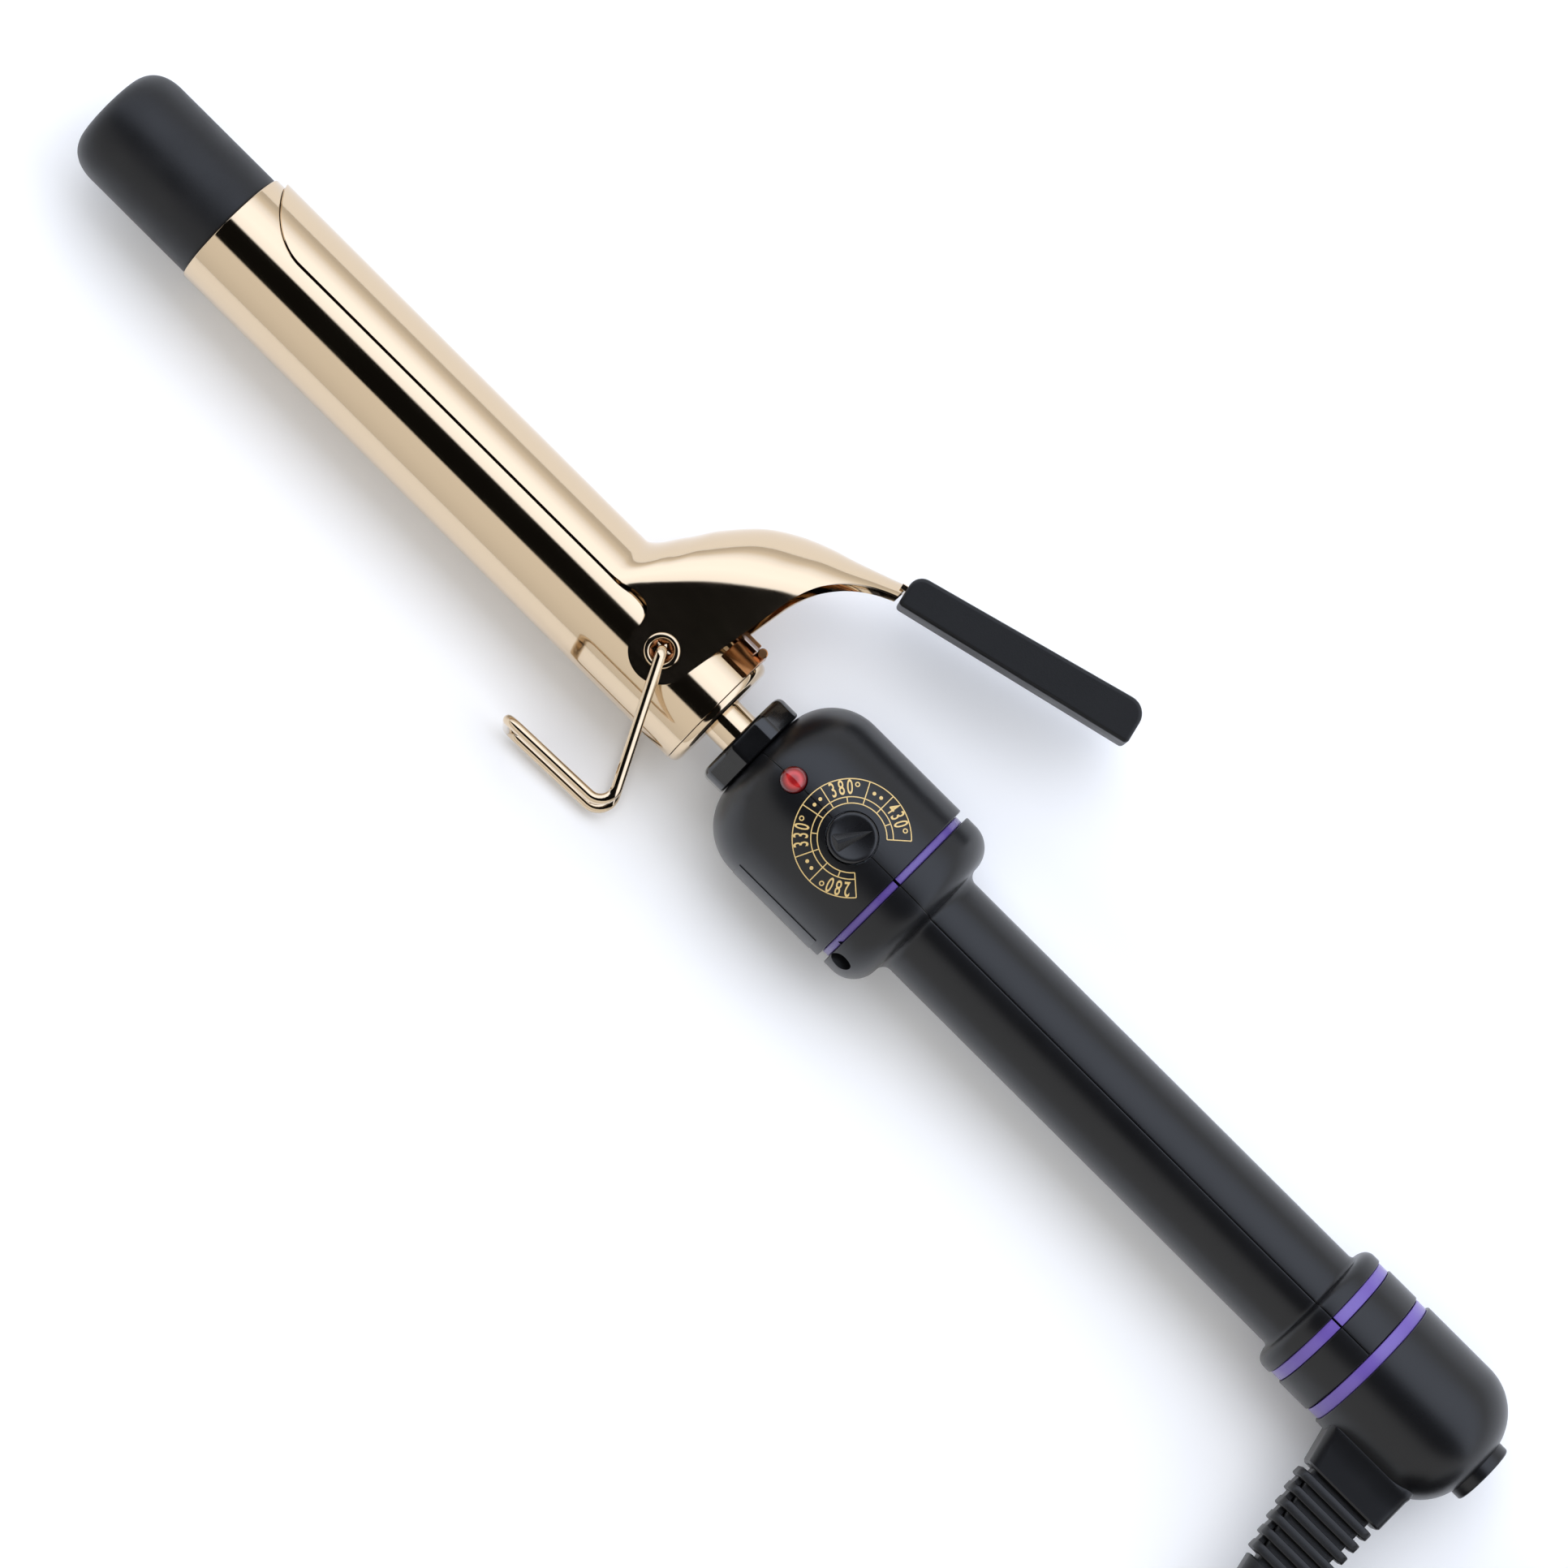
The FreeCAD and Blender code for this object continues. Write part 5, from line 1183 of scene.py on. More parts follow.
# ----------------------------------------
# Handle. Two moulded halves of satin black nylon that meet in a fine seam along the dial's side, screwed
# together from the stand's side: a round head, a ring groove, a straight grip and a stepped rear end.
HEAD_NOSE_R = 11.5
SHELL_WALL = 2.3
RING_DEPTH = 1.5
FLANGE_STRAIGHT = 2.3
FLANGE_ROUND = 5.8
NECK_R = 2.0
REAR_CONCAVE = 1.2
REAR_ROUND = 2.2
REAR_RING_SUNK = 0.35
GROOVE_EDGE = 0.28
RING_CLEARANCE = 0.08
GRIP_R = 11.47
REAR_TO_RING = 1.5
NECK_CLEARANCE = 0.05
x_handle_end = ends("handle_shell_lever_side")[1]
x_front_ring, x_flange = ends("accent_ring_front")
x_rear_ring, x_rear_land = ends("accent_ring_rear")
x_front_ring -= RING_CLEARANCE
x_flange += RING_CLEARANCE
x_rear_ring -= RING_CLEARANCE
x_rear_land += RING_CLEARANCE
head_r = ends("handle_shell_lever_side", "z")[1]
front_ring_r = ends("accent_ring_front", "z")[1]
rear_ring_r = ends("accent_ring_rear", "z")[1]
rear_r = rear_ring_r + REAR_RING_SUNK
x_flange_round = x_flange + FLANGE_STRAIGHT
x_grip = x_flange_round + FLANGE_ROUND + NECK_R
x_rear = x_rear_ring - REAR_TO_RING - REAR_ROUND - REAR_CONCAVE
satin = {"grain_mm": 0.25, "grain_depth": 0.15, "mottle": 0.02, "ior": 1.45}
satin_black = plastic("satin_moulded_nylon", "#0B0B0D", 0.32, **satin)

nose_middle = (x_head + HEAD_NOSE_R, head_r - HEAD_NOSE_R)


def edge_before(x, outer):
    """The eased outer edge of a land that ends at x."""
    return arc((x - GROOVE_EDGE, outer - GROOVE_EDGE), GROOVE_EDGE, 90, 0, 4)


def edge_after(x, outer):
    """The eased outer edge of a land that starts at x."""
    return arc((x + GROOVE_EDGE, outer - GROOVE_EDGE), GROOVE_EDGE, 180, 90, 4)


shell_outside = [(x_head, COLLAR_NECK_R + NECK_CLEARANCE)]
shell_outside += arc(nose_middle, HEAD_NOSE_R, 180, 90, 28)
shell_outside += edge_before(x_front_ring, head_r)
shell_outside += [(x_front_ring, front_ring_r - RING_DEPTH), (x_flange, front_ring_r - RING_DEPTH)]
shell_outside += edge_after(x_flange, head_r)
shell_outside += arc((x_flange_round, head_r - FLANGE_ROUND), FLANGE_ROUND, 90, 0, 18)
shell_outside += arc((x_grip, GRIP_R + NECK_R), NECK_R, 180, 270, 10)
shell_outside += arc((x_rear, GRIP_R + REAR_CONCAVE), REAR_CONCAVE, 270, 360, 8)
shell_outside += arc((x_rear + REAR_CONCAVE + REAR_ROUND, rear_r - REAR_ROUND), REAR_ROUND, 180, 90, 12)
shell_outside += edge_before(x_rear_ring, rear_r)
shell_outside += [(x_rear_ring, rear_ring_r - RING_DEPTH), (x_rear_land, rear_ring_r - RING_DEPTH)]
shell_outside += edge_after(x_rear_land, rear_r)
shell_outside += edge_before(x_handle_end, rear_r)
waist = front_ring_r - RING_DEPTH - SHELL_WALL
grip_bore = GRIP_R - SHELL_WALL
rear_bore = rear_r - SHELL_WALL - 1.5
shell_inside = [
    (x_handle_end, rear_bore),
    (x_rear + 4.0, rear_bore),
    (x_rear + 1.0, grip_bore),
    (x_flange_round + waist - grip_bore, grip_bore),
    (x_flange_round, waist),
    (x_front_ring - SHELL_WALL, waist),
    (x_front_ring - SHELL_WALL, head_r - SHELL_WALL),
]
shell_inside += arc(nose_middle, HEAD_NOSE_R - SHELL_WALL, 90, 180, 14)
shell_inside += [(x_head + SHELL_WALL, COLLAR_NECK_R + NECK_CLEARANCE)]
# Degrees from the seam of the first stations of a half, and how many more cross between the last two.
SEAM_STEPS = (0.0, 0.5, 1.1, 1.8, 2.8)
BETWEEN = 64
SEAM_GAP = 0.04
SEAM_EASE = 0.2
SEAM_SINK = 0.12


def seam_angles(side):
    """Angles across half the handle, close together beside the seam."""
    near = [-90 + s for s in SEAM_STEPS]
    angles = near + sweep(-near[-1], BETWEEN)[1:-1] + [-a for a in reversed(near)]
    return angles if side > 0 else [a + 180 for a in angles]


def handle_half(name, side):
    """One half: turned half way round, then held off the seam and its outer edges eased along it."""
    piece = turned(name, shell_outside + shell_inside, [satin_black], seam_angles(side), smooth=28)
    middle = on_axis(0)
    for vertex in piece.data.vertices:
        y = (vertex.co.y - middle.y) / MM
        z = (vertex.co.z - middle.z) / MM
        radius = math.hypot(y, z)
        from_seam = abs(y)
        if from_seam < SEAM_EASE and radius > GRIP_R - 0.5:
            sink = SEAM_SINK * (1 - from_seam / SEAM_EASE) ** 2
            vertex.co.z -= math.copysign(sink * MM, z)
        if from_seam < SEAM_GAP:
            vertex.co.y = middle.y + side * SEAM_GAP * MM
    return piece


KNOB_CLEARANCE = 0.25
LENS_LIP_CLEARANCE = 0.06
SWITCH_RECESS = 1.3
SWITCH_RIM = 1.5
SCREW_HEAD_R = 2.15
SCREW_SPREAD = 8.0
BOSS_R = SCREW_HEAD_R + 1.2
SWITCH_LENGTH = 13.0
SWITCH_WIDTH = 8.0
KNOB_PROUD = 0.9
LENS_R = 2.6
x_knob_low, x_knob_high = ends("dial_knob")
x_dial = (x_knob_low + x_knob_high) / 2
knob_r = (x_knob_high - x_knob_low) / 2
x_lens = sum(ends("pilot_lens")) / 2
screw_x = sum(ends("handle_screws")) / 2
screw_seat = head_r * -0.36
outside = head_r + 4
inside = head_r * 0.5


def well(name, x, radius):
    """A round tool through the head's wall, about an upright line."""
    return turned(name, block(inside, outside, 0, radius), [], lay=upright(x))


def through_y(x, z):
    """How a piece lies that is turned about a line across the iron at x, z."""
    return lambda along, across, turned_across: (x + across, along, z + turned_across)


for side, word in ((1, "lever_side"), (-1, "stand_side")):
    handle = handle_half("handle_half_" + word, side)
    tools = [well("lens_hole", x_lens, LENS_R + LENS_LIP_CLEARANCE)]
    tools.append(well("dial_hole", x_dial, knob_r + KNOB_CLEARANCE))
    rim_x = SWITCH_LENGTH / 2 + SWITCH_RIM
    rim_y = SWITCH_WIDTH / 2 + SWITCH_RIM
    recess = rounded_loop(rim_x, rim_y, 0.8, (x_dial, 0))
    window = rounded_loop(SWITCH_LENGTH / 2, SWITCH_WIDTH / 2, 0.5, (x_dial, 0))
    tools.append(slab("switch_recess", recess, -head_r - 3, -head_r + SWITCH_RECESS, [], 0))
    tools.append(slab("switch_window", window, -head_r - 3, -inside, [], 0))
    if side < 0:
        for z in (SCREW_SPREAD, -SCREW_SPREAD):
            outline = block(-outside, screw_seat, 0, SCREW_HEAD_R)
            tools.append(turned("screw_well", outline, [], lay=through_y(screw_x, z)))
    cut(handle, *tools)
    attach(handle, "iron")
    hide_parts("handle_shell_" + word)

for z in (SCREW_SPREAD, -SCREW_SPREAD):
    depth = math.sqrt(head_r**2 - (z + math.copysign(BOSS_R, z)) ** 2)
    liner = block(screw_seat, -depth + 0.4, SCREW_HEAD_R, BOSS_R)
    boss = turned("screw_boss", liner, [satin_black], lay=through_y(screw_x, z))
    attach(boss, "iron")
dress("handle_screws", plated("zinc_plated_screw", "#A9ABAD", 0.3, 0.1))

# ----------------------------------------
# Accent rings. Semi-gloss purple mouldings let into the grooves of the handle: two half rings in front
# and behind that meet at the seam with a small gap, and a whole one that turns with the swivel.
purple = plastic("purple_semi_gloss", "#614C99", 0.3, mottle=0.05, coat=0.15)
RING_GAP_DEGREES = 0.9
RING_EDGE = 0.22
for word, x0, x1, outer in (
    ("front", x_front_ring, x_flange, front_ring_r),
    ("rear", x_rear_ring, x_rear_land, rear_ring_r),
):
    outline = eased(block(x0 + RING_CLEARANCE, x1 - RING_CLEARANCE, outer - RING_DEPTH, outer), RING_EDGE)
    for middle, half_word in ((0, "lever_side"), (180, "stand_side")):
        angles = sweep(90 - RING_GAP_DEGREES, 72, middle)
        half_ring = turned("accent_ring_" + word + "_" + half_word, outline, [purple], angles)
        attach(half_ring, "iron")
    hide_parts("accent_ring_" + word)

# ----------------------------------------
# Pilot lens. A small red dome, moulded in clear red plastic and held from inside by its foot. Its colour
# holds painted light: painted shade in its middle and at its edge, with a painted bright ring between them.
LENS_PROUD = 1.6
LENS_FOOT_R = LENS_R + 0.6
LENS_FOOT = 0.8
# Painted light in the lens's base colour, from its middle out to its edge: painted shade, a painted bright
# ring, then painted shade.
LENS_PAINTED_LIGHT_STOPS = ((0.0, "#7E1517"), (0.25, "#8E1B1D"), (0.5, "#B52B2B"), (0.75, "#7A1517"), (1.0, "#2E0709"))
lens_low, lens_top = ends("pilot_lens", "z")


def lens_red_painted_light():
    """Clear red plastic, its colour graded by distance from its middle as painted light: painted shade in the
    middle and at the edge, a painted bright ring between.
    """
    material = plastic("clear_red_lens", "#C8201F", 0.08, mottle=0.0, coat=0.5)
    tree = material.node_tree
    shader = tree.nodes["Principled BSDF"]
    where = add_node(tree, "ShaderNodeTexCoord").outputs["Object"]
    centre = on_axis(x_lens)
    flat = {"in_Location": (-centre.x, -centre.y, 0), "in_Scale": (1, 1, 0)}
    away = add_node(tree, "ShaderNodeMapping", [(where, "Vector")], **flat).outputs[0]
    radius = add_node(tree, "ShaderNodeVectorMath", [(away, 0)], operation="LENGTH").outputs["Value"]
    # The lens's painted shade and painted bright ring, laid on its base colour by distance from its middle.
    painted_lens_light = add_node(tree, "ShaderNodeValToRGB", [(spread(tree, radius, 0.0, LENS_R * MM), "Fac")])
    fill_ramp(painted_lens_light.color_ramp, [(place, linear(colour)) for place, colour in LENS_PAINTED_LIGHT_STOPS])
    tree.links.new(painted_lens_light.outputs["Color"], shader.inputs["Base Color"])
    return material


dome_r = (LENS_R**2 + LENS_PROUD**2) / (2 * LENS_PROUD)
dome_reach = math.degrees(math.asin(LENS_R / dome_r))
lens_outline = [(lens_low, 0), (lens_low, LENS_FOOT_R)]
lens_outline += [(lens_low + LENS_FOOT, LENS_FOOT_R), (lens_low + LENS_FOOT, LENS_R)]
lens_outline += arc((lens_top - dome_r, 0), dome_r, dome_reach, 0, 16)
lens = turned("pilot_lens_dome", lens_outline, [lens_red_painted_light()], lay=upright(x_lens), smooth=40)
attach(lens, "iron")
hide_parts("pilot_lens")
dress("pilot_lamp", plastic("lamp_glass", "#8C2A22", 0.1, coat=0.5))

# ----------------------------------------
# Heat dial. A glossy knob with a wedge across it that points at the scale; the scale is printed in pale
# gold on the head, four temperatures in degrees with paired dots between them.
KNOB_DEPTH = 4.0
KNOB_EDGE = 0.6
KNOB_DISH = 0.12
SHAFT_R = 1.5
SHAFT_LENGTH = 3.6
KNOB_POINTER = 0.8
POINTER_ANGLE = 63.0
knob_top = head_r + KNOB_PROUD
knob_low = head_r - KNOB_DEPTH
knob_outline = [(knob_low, 0), (knob_low, knob_r - 0.1)]
knob_outline += arc((knob_top - KNOB_EDGE, knob_r - KNOB_EDGE), KNOB_EDGE, 90, 0, 8)
knob_outline += [(knob_top, knob_r * 0.8), (knob_top - KNOB_DISH, knob_r * 0.72), (knob_top - KNOB_DISH, 0)]
knob_black = plastic("knob_moulding", "#0E0E10", 0.28, mottle=0.06)
knob = turned("dial_knob_moulding", knob_outline, [knob_black], lay=upright(x_dial))


def pointer():
    """The raised wedge: a roof that runs from a broad tail to a fine point."""
    reach = knob_r - 0.55
    base = knob_top - 0.3
    high = knob_top + KNOB_POINTER
    # Along the wedge, across it and up: four corners at its foot, then the ridge's point and its tail.
    plan = [
        (reach, 0.0, base),
        (-reach * 0.88, 2.2, base),
        (-reach * 0.97, 0.0, base),
        (-reach * 0.88, -2.2, base),
        (reach * 0.86, 0.0, high - 0.25),
        (-reach * 0.7, 0.35, high),
        (-reach * 0.7, -0.35, high),
    ]
    turn = math.radians(POINTER_ANGLE)
    points = []
    for x, y, z in plan:
        across = x * math.sin(turn) + y * math.cos(turn)
        points.append((x_dial + x * math.cos(turn) - y * math.sin(turn), across, z))
    faces = [(0, 1, 5, 4), (0, 4, 6, 3), (1, 2, 5), (2, 3, 6), (2, 6, 5), (4, 5, 6), (0, 3, 2, 1)]
    wedge = mesh_piece("dial_pointer", points, faces, [knob_black])
    return softened(wedge, 0.18, 3)


wedge = pointer()
shaft_outline = block(knob_low - SHAFT_LENGTH, knob_low + 0.1, 0, SHAFT_R)
shaft = turned("dial_shaft", shaft_outline, [knob_black], lay=upright(x_dial))
for obj in (knob, wedge, shaft):
    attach(obj, "dial")
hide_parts("dial_knob")

SCALE_OUTER = 11.2
SCALE_MIDDLE = 7.75
SCALE_INNER = 6.55
SCALE_FROM = 42.0
SCALE_TO = 319.0
PRINT_LIFT = 0.04
LINE = 0.2
DIVISIONS = (42.0, 90.0, 116.6, 167.0, 191.0, 243.4, 270.0, 319.0)
TICKS = (65.0, 142.0, 218.0, 295.0)
NUMERALS = (("430", 66.0), ("380", 142.0), ("330", 217.0), ("280", 294.5))
NUMERAL_RADIUS = 8.3
NUMERAL_HEIGHT = 2.75
NUMERAL_NARROW = 0.6
NUMERAL_STEP = 9.9
CAPITAL_SHARE = 0.69
NUMERAL_BOLD = 0.035
DOT_RADIUS = 9.4
DOT_SPREAD = 4.6
DOT = (0.0, 0.36)
DEGREE_RADIUS = 10.15
DEGREE_PLACE = 2.85
DEGREE_RING = (0.28, 0.5)
SPOKE_STEPS = 8
DEGREES_PER_STEP = 2
print_points = []
print_faces = []


def on_head(x, y):
    """A place on the head's surface, a hair above it."""
    return (x_dial + x, y, math.sqrt(head_r**2 - y * y) + PRINT_LIFT)


def print_strip(one, two):
    """A strip of print between two lines of as many points."""
    start = len(print_points)
    print_points.extend(on_head(*p) for p in one)
    print_points.extend(on_head(*p) for p in two)
    count = len(one)
    for i in range(count - 1):
        print_faces.append((start + i, start + i + 1, start + count + i + 1, start + count + i))


def print_arc(radius, first, last):
    """A printed line round the dial."""
    steps = max(int((last - first) / DEGREES_PER_STEP), 2)
    inner = arc((0, 0), radius - LINE / 2, first, last, steps)
    print_strip(inner, arc((0, 0), radius + LINE / 2, first, last, steps))


def print_spoke(degrees, inner, outer):
    """A printed line away from the dial's middle."""
    turn = math.radians(degrees)
    side = Vector((-math.sin(turn), math.cos(turn))) * LINE / 2
    along = Vector((math.cos(turn), math.sin(turn)))
    middle = [along * (inner + (outer - inner) * i / SPOKE_STEPS) for i in range(SPOKE_STEPS + 1)]
    print_strip([tuple(p - side) for p in middle], [tuple(p + side) for p in middle])


def print_dot(degrees, radius, size):
    """A small ring, or a round dot where the first of its two radii is nothing."""
    turn = math.radians(degrees)
    centre = Vector((radius * math.cos(turn), radius * math.sin(turn)))
    inner, outer = size
    print_strip(arc(centre, inner, 0, 360, 20), arc(centre, outer, 0, 360, 20))


for radius in (SCALE_OUTER, SCALE_MIDDLE, SCALE_INNER):
    print_arc(radius, SCALE_FROM, SCALE_TO)
for degrees in DIVISIONS:
    print_spoke(degrees, SCALE_INNER, SCALE_OUTER)
for degrees in TICKS:
    print_spoke(degrees, SCALE_INNER, SCALE_MIDDLE)
for first, last in zip(DIVISIONS[1::2], DIVISIONS[2::2]):
    for step in (-DOT_SPREAD, DOT_SPREAD):
        print_dot((first + last) / 2 + step, DOT_RADIUS, DOT)


def print_numeral(figure, degrees):
    """One narrow figure, its top away from the dial's middle."""
    curve = bpy.data.curves.new("figure", "FONT")
    curve.body = figure
    curve.size = NUMERAL_HEIGHT / CAPITAL_SHARE
    curve.align_x = "CENTER"
    curve.resolution_u = 6
    curve.offset = NUMERAL_BOLD
    source = placed("figure", curve)
    bpy.context.view_layer.update()
    mesh = bpy.data.meshes.new_from_object(source)
    bpy.data.objects.remove(source)
    start = len(print_points)
    turn = math.radians(degrees)
    for vertex in mesh.vertices:
        outwards = NUMERAL_RADIUS + vertex.co.y
        sideways = vertex.co.x * NUMERAL_NARROW
        x = outwards * math.cos(turn) + sideways * math.sin(turn)
        y = outwards * math.sin(turn) - sideways * math.cos(turn)
        print_points.append(on_head(x, y))
    print_faces.extend(tuple(start + i for i in face.vertices) for face in mesh.polygons)
    bpy.data.meshes.remove(mesh)


for figures, middle in NUMERALS:
    first = middle + NUMERAL_STEP * 1.5
    for i, figure in enumerate(figures):
        print_numeral(figure, first - i * NUMERAL_STEP)
    print_dot(first - DEGREE_PLACE * NUMERAL_STEP, DEGREE_RADIUS, DEGREE_RING)
print_gold = plastic("pale_gold_ink", "#CBAE72", 0.45, grain_mm=0.15, grain_depth=0.2)
scale_print = mesh_piece("dial_scale_print", print_points, print_faces, [print_gold])
if sum(face.normal.z * face.area for face in scale_print.data.polygons) < 0:
    scale_print.data.flip_normals()
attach(scale_print, "iron")

# ----------------------------------------
# Inside the head. The dial's potentiometer on a small board with its power switch, fuse and capacitor;
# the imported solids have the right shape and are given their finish.
dress("potentiometer", plated("pressed_aluminium", "#C4C6C8", 0.3, 0.1))
dress("heat_sink", plated("folded_aluminium", "#BBBDBF", 0.35, 0.1))
dress("circuit_board", plastic("glass_epoxy", "#1F5A34", 0.35, grain_mm=0.5, grain_depth=0.4))
dress("board_parts", plastic("epoxy_dipped", "#2A2320", 0.3, coat=0.3))
dress("thermal_sensor", plastic("glass_bead", "#7A5A2C", 0.3))

# ----------------------------------------
# On-off switch. A snap-in rocker on the side that faces the table: a glossy frame let into a recess of
# the head, and a shallow V-faced rocker with a ridge at each end.
SWITCH_DEPTH = 9.0
SWITCH_FRAME_CLEARANCE = 0.3
ROCKER_LENGTH = 9.6
ROCKER_WIDTH = 4.6
ROCKER_CLEARANCE = 0.4
ROCKER_TILT = math.radians(7.0)
FRAME_SHEET = 0.7
CAN_DEPTH = 4.2
TAB_SPACING = 5.0
AXLE_BEHIND = 1.2
FACE_AHEAD = 1.9
PIN_R = 0.9
frame_top = -head_r + SWITCH_RECESS
frame_x = SWITCH_LENGTH / 2 + SWITCH_RIM - SWITCH_FRAME_CLEARANCE
frame_y = SWITCH_WIDTH / 2 + SWITCH_RIM - SWITCH_FRAME_CLEARANCE
open_x = ROCKER_LENGTH / 2 + ROCKER_CLEARANCE
open_y = ROCKER_WIDTH / 2 + ROCKER_CLEARANCE
frame_loop = rounded_loop(frame_x, frame_y, 0.7, (x_dial, 0))
opening = rounded_loop(open_x, open_y, 0.3, (x_dial, 0))
frame_low = frame_top - FRAME_SHEET
switch_frame = slab("switch_frame", frame_loop, frame_low, frame_top, [gloss_black], 0.2, hole=opening)
can_loop = rounded_loop(SWITCH_LENGTH / 2 - 0.05, SWITCH_WIDTH / 2 - 0.05, 0.4, (x_dial, 0))
can_back = frame_top + CAN_DEPTH
switch_can = slab("switch_can", can_loop, frame_top, can_back, [gloss_black], 0.0, hole=opening)
switch_back = slab("switch_back", can_loop, can_back, frame_top + SWITCH_DEPTH, [gloss_black], 0.3)
for obj in (switch_frame, switch_can, switch_back):
    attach(obj, "iron")
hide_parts("rocker_switch_body")
tab_brass = plated("switch_tab_brass", "#C7A35A", 0.25, 0.1)
tab = slab("tab", rounded_loop(0.4, 1.5, 0.1), 0.0, 3.0, [], 0.0)
tab_place = (x_dial - TAB_SPACING, 0, frame_top + SWITCH_DEPTH)
tabs = repeated("switch_tabs", tab, tab_brass, tab_place, Count=3, Step=(TAB_SPACING * MM, 0, 0))
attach(tabs, "iron")

axle_z = frame_top + AXLE_BEHIND
face_z = axle_z - FACE_AHEAD
rocker_end = ROCKER_LENGTH / 2
# One end of it, from the middle of its face out and round to its back: along it, and its height.
rocker_side = [(rocker_end - 1.3, face_z + 0.28), (rocker_end - 0.9, face_z + 0.02)]
rocker_side += [(rocker_end, face_z + 0.1), (rocker_end, axle_z + 0.4), (1.8, axle_z + 1.7)]
rocker_outline = [(0, face_z + 0.75)] + rocker_side + [(-x, z) for x, z in reversed(rocker_side)]
tilted = []
for x, z in rocker_outline:
    up = z - axle_z
    x_tilted = x * math.cos(ROCKER_TILT) + up * math.sin(ROCKER_TILT)
    tilted.append((x_dial + x_tilted, axle_z - x * math.sin(ROCKER_TILT) + up * math.cos(ROCKER_TILT)))
rocker_half = ROCKER_WIDTH / 2
rocker = slab("rocker_moulding", tilted, -rocker_half, rocker_half, [gloss_black], 0.18, lay=across_y)
pin_half = rocker_half + 0.9
pin = turned("rocker_pin", block(-pin_half, pin_half, 0, PIN_R), [gloss_black], lay=through_y(x_dial, axle_z))
for obj in (rocker, pin):
    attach(obj, "rocker")
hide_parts("rocker_button")

# ----------------------------------------
# Rating plate. A thin film of label stock, stuck round the stand's side of the head. The real one is
# printed; this one is left blank.
PLATE_WRAP = 22.0
PLATE_FILM = 0.15
plate_outline = eased(block(*ends("rating_plate"), head_r, head_r + PLATE_FILM), 0.06)
label_film = plastic("label_film", "#131315", 0.3, mottle=0.04)
plate = turned("rating_plate_film", plate_outline, [label_film], sweep(PLATE_WRAP, 40, 180))
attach(plate, "iron")
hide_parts("rating_plate")

# ----------------------------------------
# Swivel. A domed cap with a boss for the cord, moulded like the handle, that turns on a bearing in the
# handle's end; slip rings and carbon brushes carry the current across, and a button closes its end.
SWIVEL_WALL = 2.2
SWIVEL_NOSE_R = 11.5
BOSS_FRONT = 2.0
BOSS_LENGTH = 20.5
BOSS_END_LENGTH = 18.5
BOSS_DEPTH = 14.0
BOSS_EDGE = 2.2
BUTTON_R = 6.5
x_swivel_ring, x_swivel = ends("accent_ring_swivel")
swivel_ring_r = ends("accent_ring_swivel", "z")[1]
x_swivel_end = ends("swivel_cap")[1]
swivel_r = ends("swivel_cap", "z")[1]
boss_reach = -ends("swivel_cap", "y")[0]
x_button = ends("end_button")[1]
ring_outline = eased(block(x_swivel_ring, x_swivel, swivel_ring_r - RING_DEPTH, swivel_ring_r), RING_EDGE)
swivel_ring = turned("accent_ring_swivel_moulding", ring_outline, [purple])
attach(swivel_ring, "swivel")
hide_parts("accent_ring_swivel")

cap_nose = (x_swivel_end - SWIVEL_NOSE_R, swivel_r - SWIVEL_NOSE_R)
cap_outline = [(x_swivel, swivel_r - SWIVEL_WALL)]
cap_outline += edge_after(x_swivel, swivel_r)
cap_outline += arc(cap_nose, SWIVEL_NOSE_R, 90, 0, 28)
cap_outline += [(x_swivel_end, 0), (x_swivel_end - SWIVEL_WALL, 0)]
cap_outline += arc(cap_nose, SWIVEL_NOSE_R - SWIVEL_WALL, 0, 90, 14)
swivel_cap = turned("swivel_cap_moulding", cap_outline, [satin_black])


x_boss = x_swivel + BOSS_FRONT
x_boss_back = x_boss + BOSS_LENGTH
# Where its sections stand, and how far each flares.
BOSS_PLACES = ((-9.5, 0.0), (-12.6, 0.0), (-13.6, 0.15), (-14.4, 0.0), (-18.0, 0.0), (-boss_reach + 0.4, 0.0))
BOSS_LIP = 0.35
boss_sections = []
for y, flare in BOSS_PLACES:
    down = min(max((-y - swivel_r + 1.0) / (boss_reach - swivel_r + 1.0), 0), 1)
    x_front = x_boss + (BOSS_LENGTH - BOSS_END_LENGTH) * down - flare
    middle = ((x_front + x_boss_back + flare) / 2, 0.0)
    loop = rounded_loop((x_boss_back + flare - x_front) / 2, BOSS_DEPTH / 2 + flare, BOSS_EDGE, middle)
    boss_sections.append((y, loop))
middle = (x_boss_back - BOSS_END_LENGTH / 2, 0.0)
boss_end = rounded_loop(BOSS_END_LENGTH / 2 - BOSS_LIP, BOSS_DEPTH / 2 - BOSS_LIP, BOSS_EDGE, middle)
boss_sections.append((-boss_reach, boss_end))
boss = loft("swivel_boss", boss_sections, [satin_black], across_y, smooth=40)
cut(swivel_cap, boss, join=True)
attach(swivel_cap, "swivel")
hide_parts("swivel_cap")

button_outline = [(x_swivel_end - 0.4, 0), (x_swivel_end - 0.4, BUTTON_R)]
button_outline += arc((x_button - 0.75, BUTTON_R - 0.5), 0.5, 90, 20, 5)
button_outline += bezier([button_outline[-1], (x_button, BUTTON_R * 0.5), (x_button, 0)], 8)
button = turned("end_button_moulding", button_outline, [satin_black])
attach(button, "swivel")
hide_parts("end_button")
acetal = plastic("moulded_acetal", "#D8D2BE", 0.4, mottle=0.05)
dress("swivel_bush", acetal)
dress("swivel_hub", acetal)
dress("slip_rings", plated("turned_brass", "#C9A04E", 0.2, 0.1))
dress("brush_contacts", plastic("pressed_carbon", "#2B2B2D", 0.6, grain_mm=0.2, grain_depth=0.6))

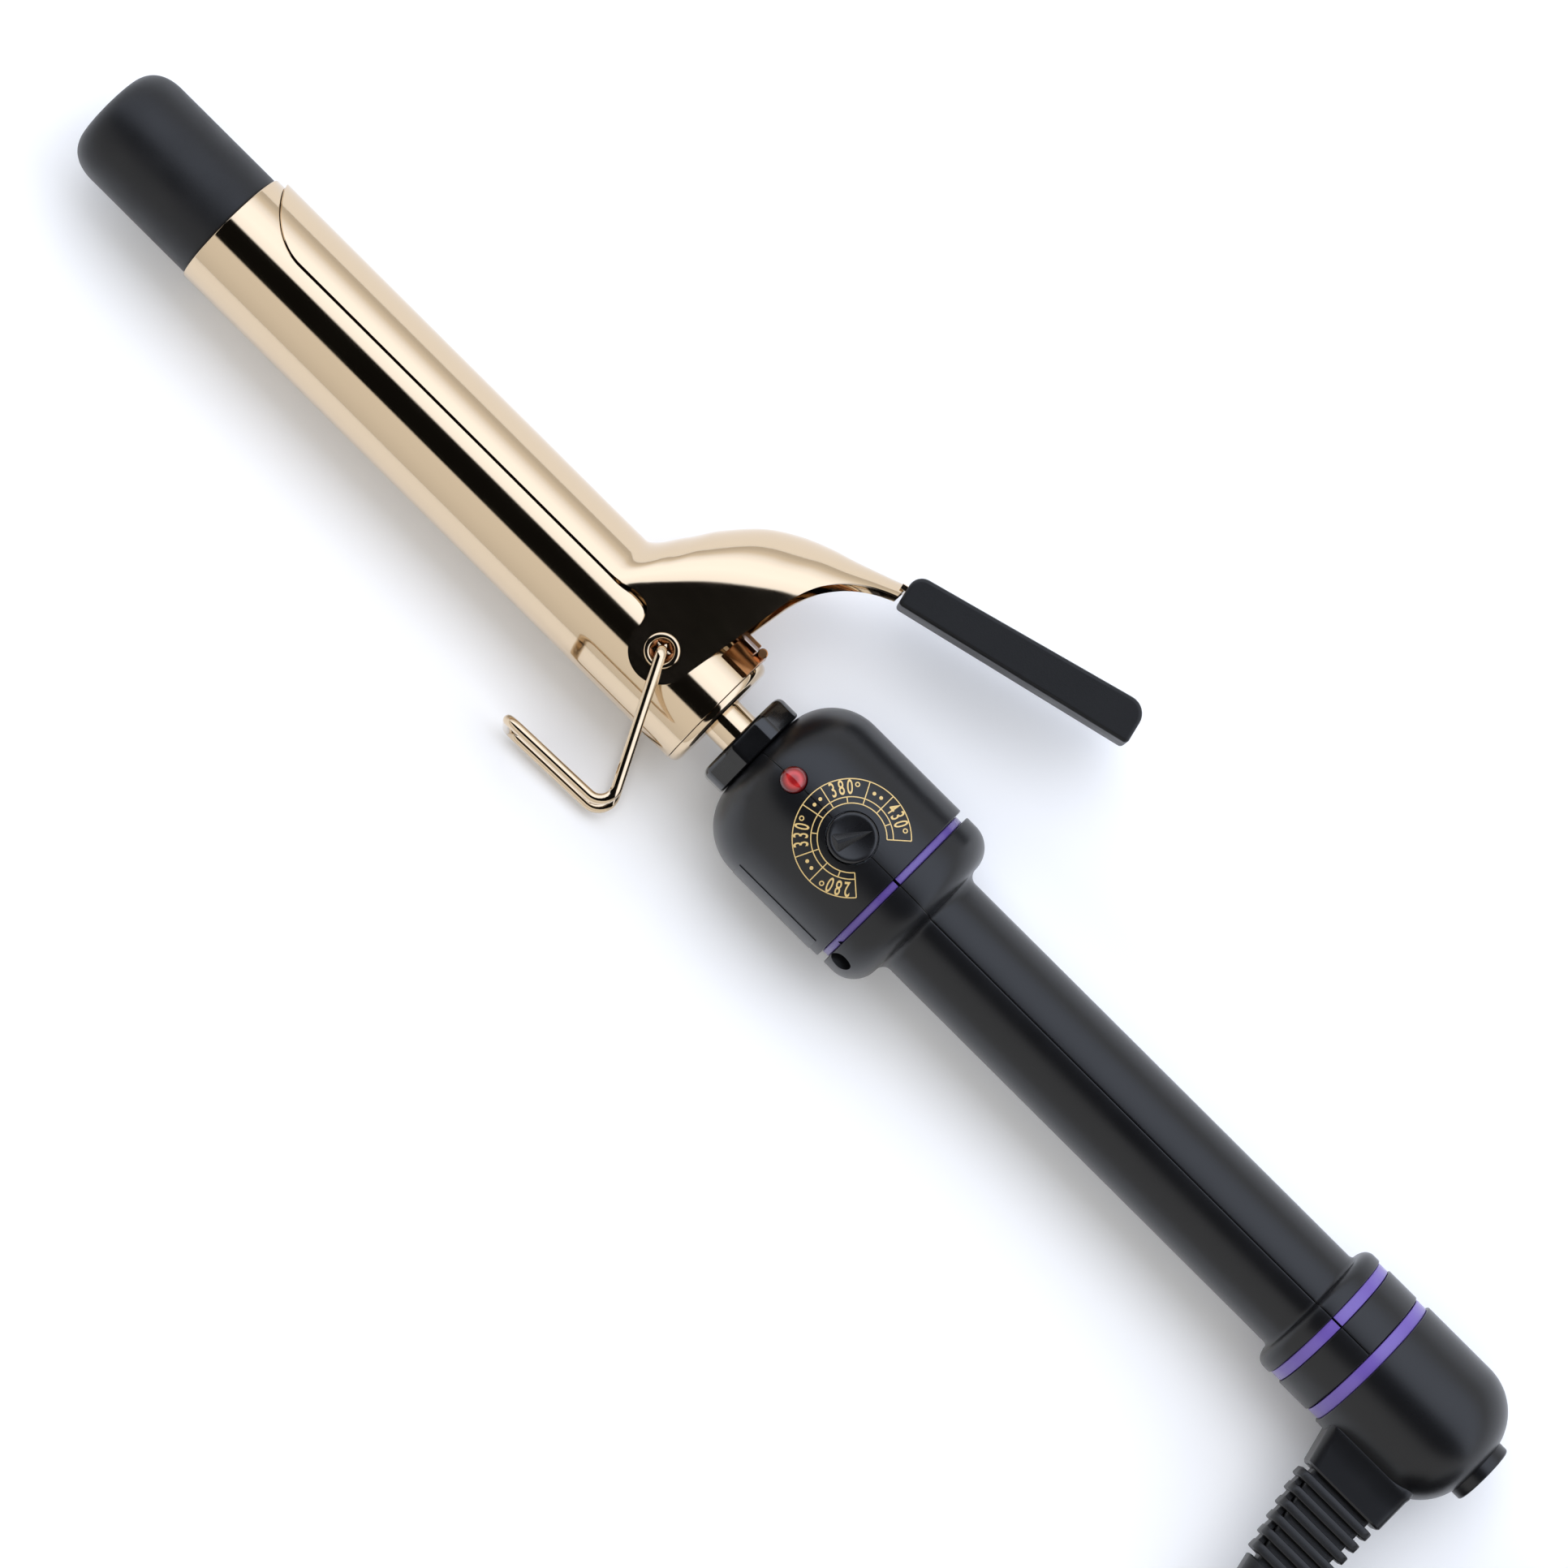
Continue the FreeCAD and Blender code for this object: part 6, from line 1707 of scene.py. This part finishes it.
# ----------------------------------------
# Cord guard. Soft PVC moulded over the cord: a flat core with six thin ribs that get shorter towards
# the cord, so that it bends evenly, ended by a plain collar that grips the cord.
RIB_COUNT = 6
RIB_PITCH = 3.14
RIB_THICK = 1.85
RIB_LENGTH = 18.4
RIB_TAPER = 0.72
RIB_INSET = 1.9
GUARD_SPACE = 1.2
GUARD_DEPTH = 12.0
RIB_CORNER = 2.6
COLLAR_CORNER = 2.4
# How far down a rib each of its sections is, and how much it is eased there.
RIB_SECTIONS = (
    *((0.0, 0.25), (0.08, 0.08), (0.25, 0.0)),
    *((RIB_THICK - 0.25, 0.0), (RIB_THICK - 0.08, 0.08), (RIB_THICK, 0.25)),
)
guard_start = -boss_reach - GUARD_SPACE
guard_end = ends("strain_relief", "y")[0]
x_guard_back = ends("strain_relief")[1]
collar_start = guard_start - RIB_COUNT * RIB_PITCH + 0.3


def guard_loop(y, inset, depth, corner=1.2):
    """The guard's section at a height: its back is upright and its front slants with the ribs."""
    length = RIB_LENGTH - RIB_TAPER * max(guard_start - y, 0) / RIB_PITCH
    return rounded_loop(length / 2 - inset, depth / 2 - inset * 0.8, corner, (x_guard_back - length / 2, 0.0))


guard_rubber = plastic("guard_pvc", "#0F0F10", 0.45, grain_mm=0.3, grain_depth=0.25)
core_places = (-boss_reach + 2, guard_start, collar_start)
core_sections = [(y, guard_loop(y, RIB_INSET, GUARD_DEPTH)) for y in core_places]
core = loft("guard_core", core_sections, [guard_rubber], across_y)
rib_sections = []
for drop, ease in RIB_SECTIONS:
    loop = rounded_loop(RIB_LENGTH / 2 - ease, GUARD_DEPTH / 2 - ease, RIB_CORNER, (-RIB_LENGTH / 2, 0))
    rib_sections.append((-drop, loop))
rib = loft("rib", rib_sections, [], across_y)
ribs = repeated(
    *("guard_ribs", rib, guard_rubber, (x_guard_back, guard_start, 0)),
    Count=RIB_COUNT,
    Step=(0, -RIB_PITCH * MM, 0),
    Shrink=(RIB_TAPER / RIB_LENGTH, 0, 0),
)
post_depth = RIB_PITCH - RIB_THICK + 0.05
post = slab("post", rounded_loop(0.7, 3.4, 0.3), -post_depth, 0.05, [], 0.0, lay=across_y)
post_place = (x_guard_back - RIB_LENGTH + RIB_INSET - 0.3, guard_start - RIB_THICK, 0)
post_step = (RIB_TAPER * MM, -RIB_PITCH * MM, 0)
posts = repeated("guard_posts", post, guard_rubber, post_place, Count=RIB_COUNT - 1, Step=post_step)
collar_places = ((collar_start, 0.5), (collar_start - 0.3, 0.2))
collar_places += ((guard_end + 0.8, 0.2), (guard_end + 0.2, 0.5), (guard_end, 0.9))
collar_sections = [(y, guard_loop(y, inset, GUARD_DEPTH - 0.5, COLLAR_CORNER)) for y, inset in collar_places]
collar_end = loft("guard_collar", collar_sections, [guard_rubber], across_y)
for obj in (core, ribs, posts, collar_end):
    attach(obj, "swivel")
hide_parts("strain_relief")
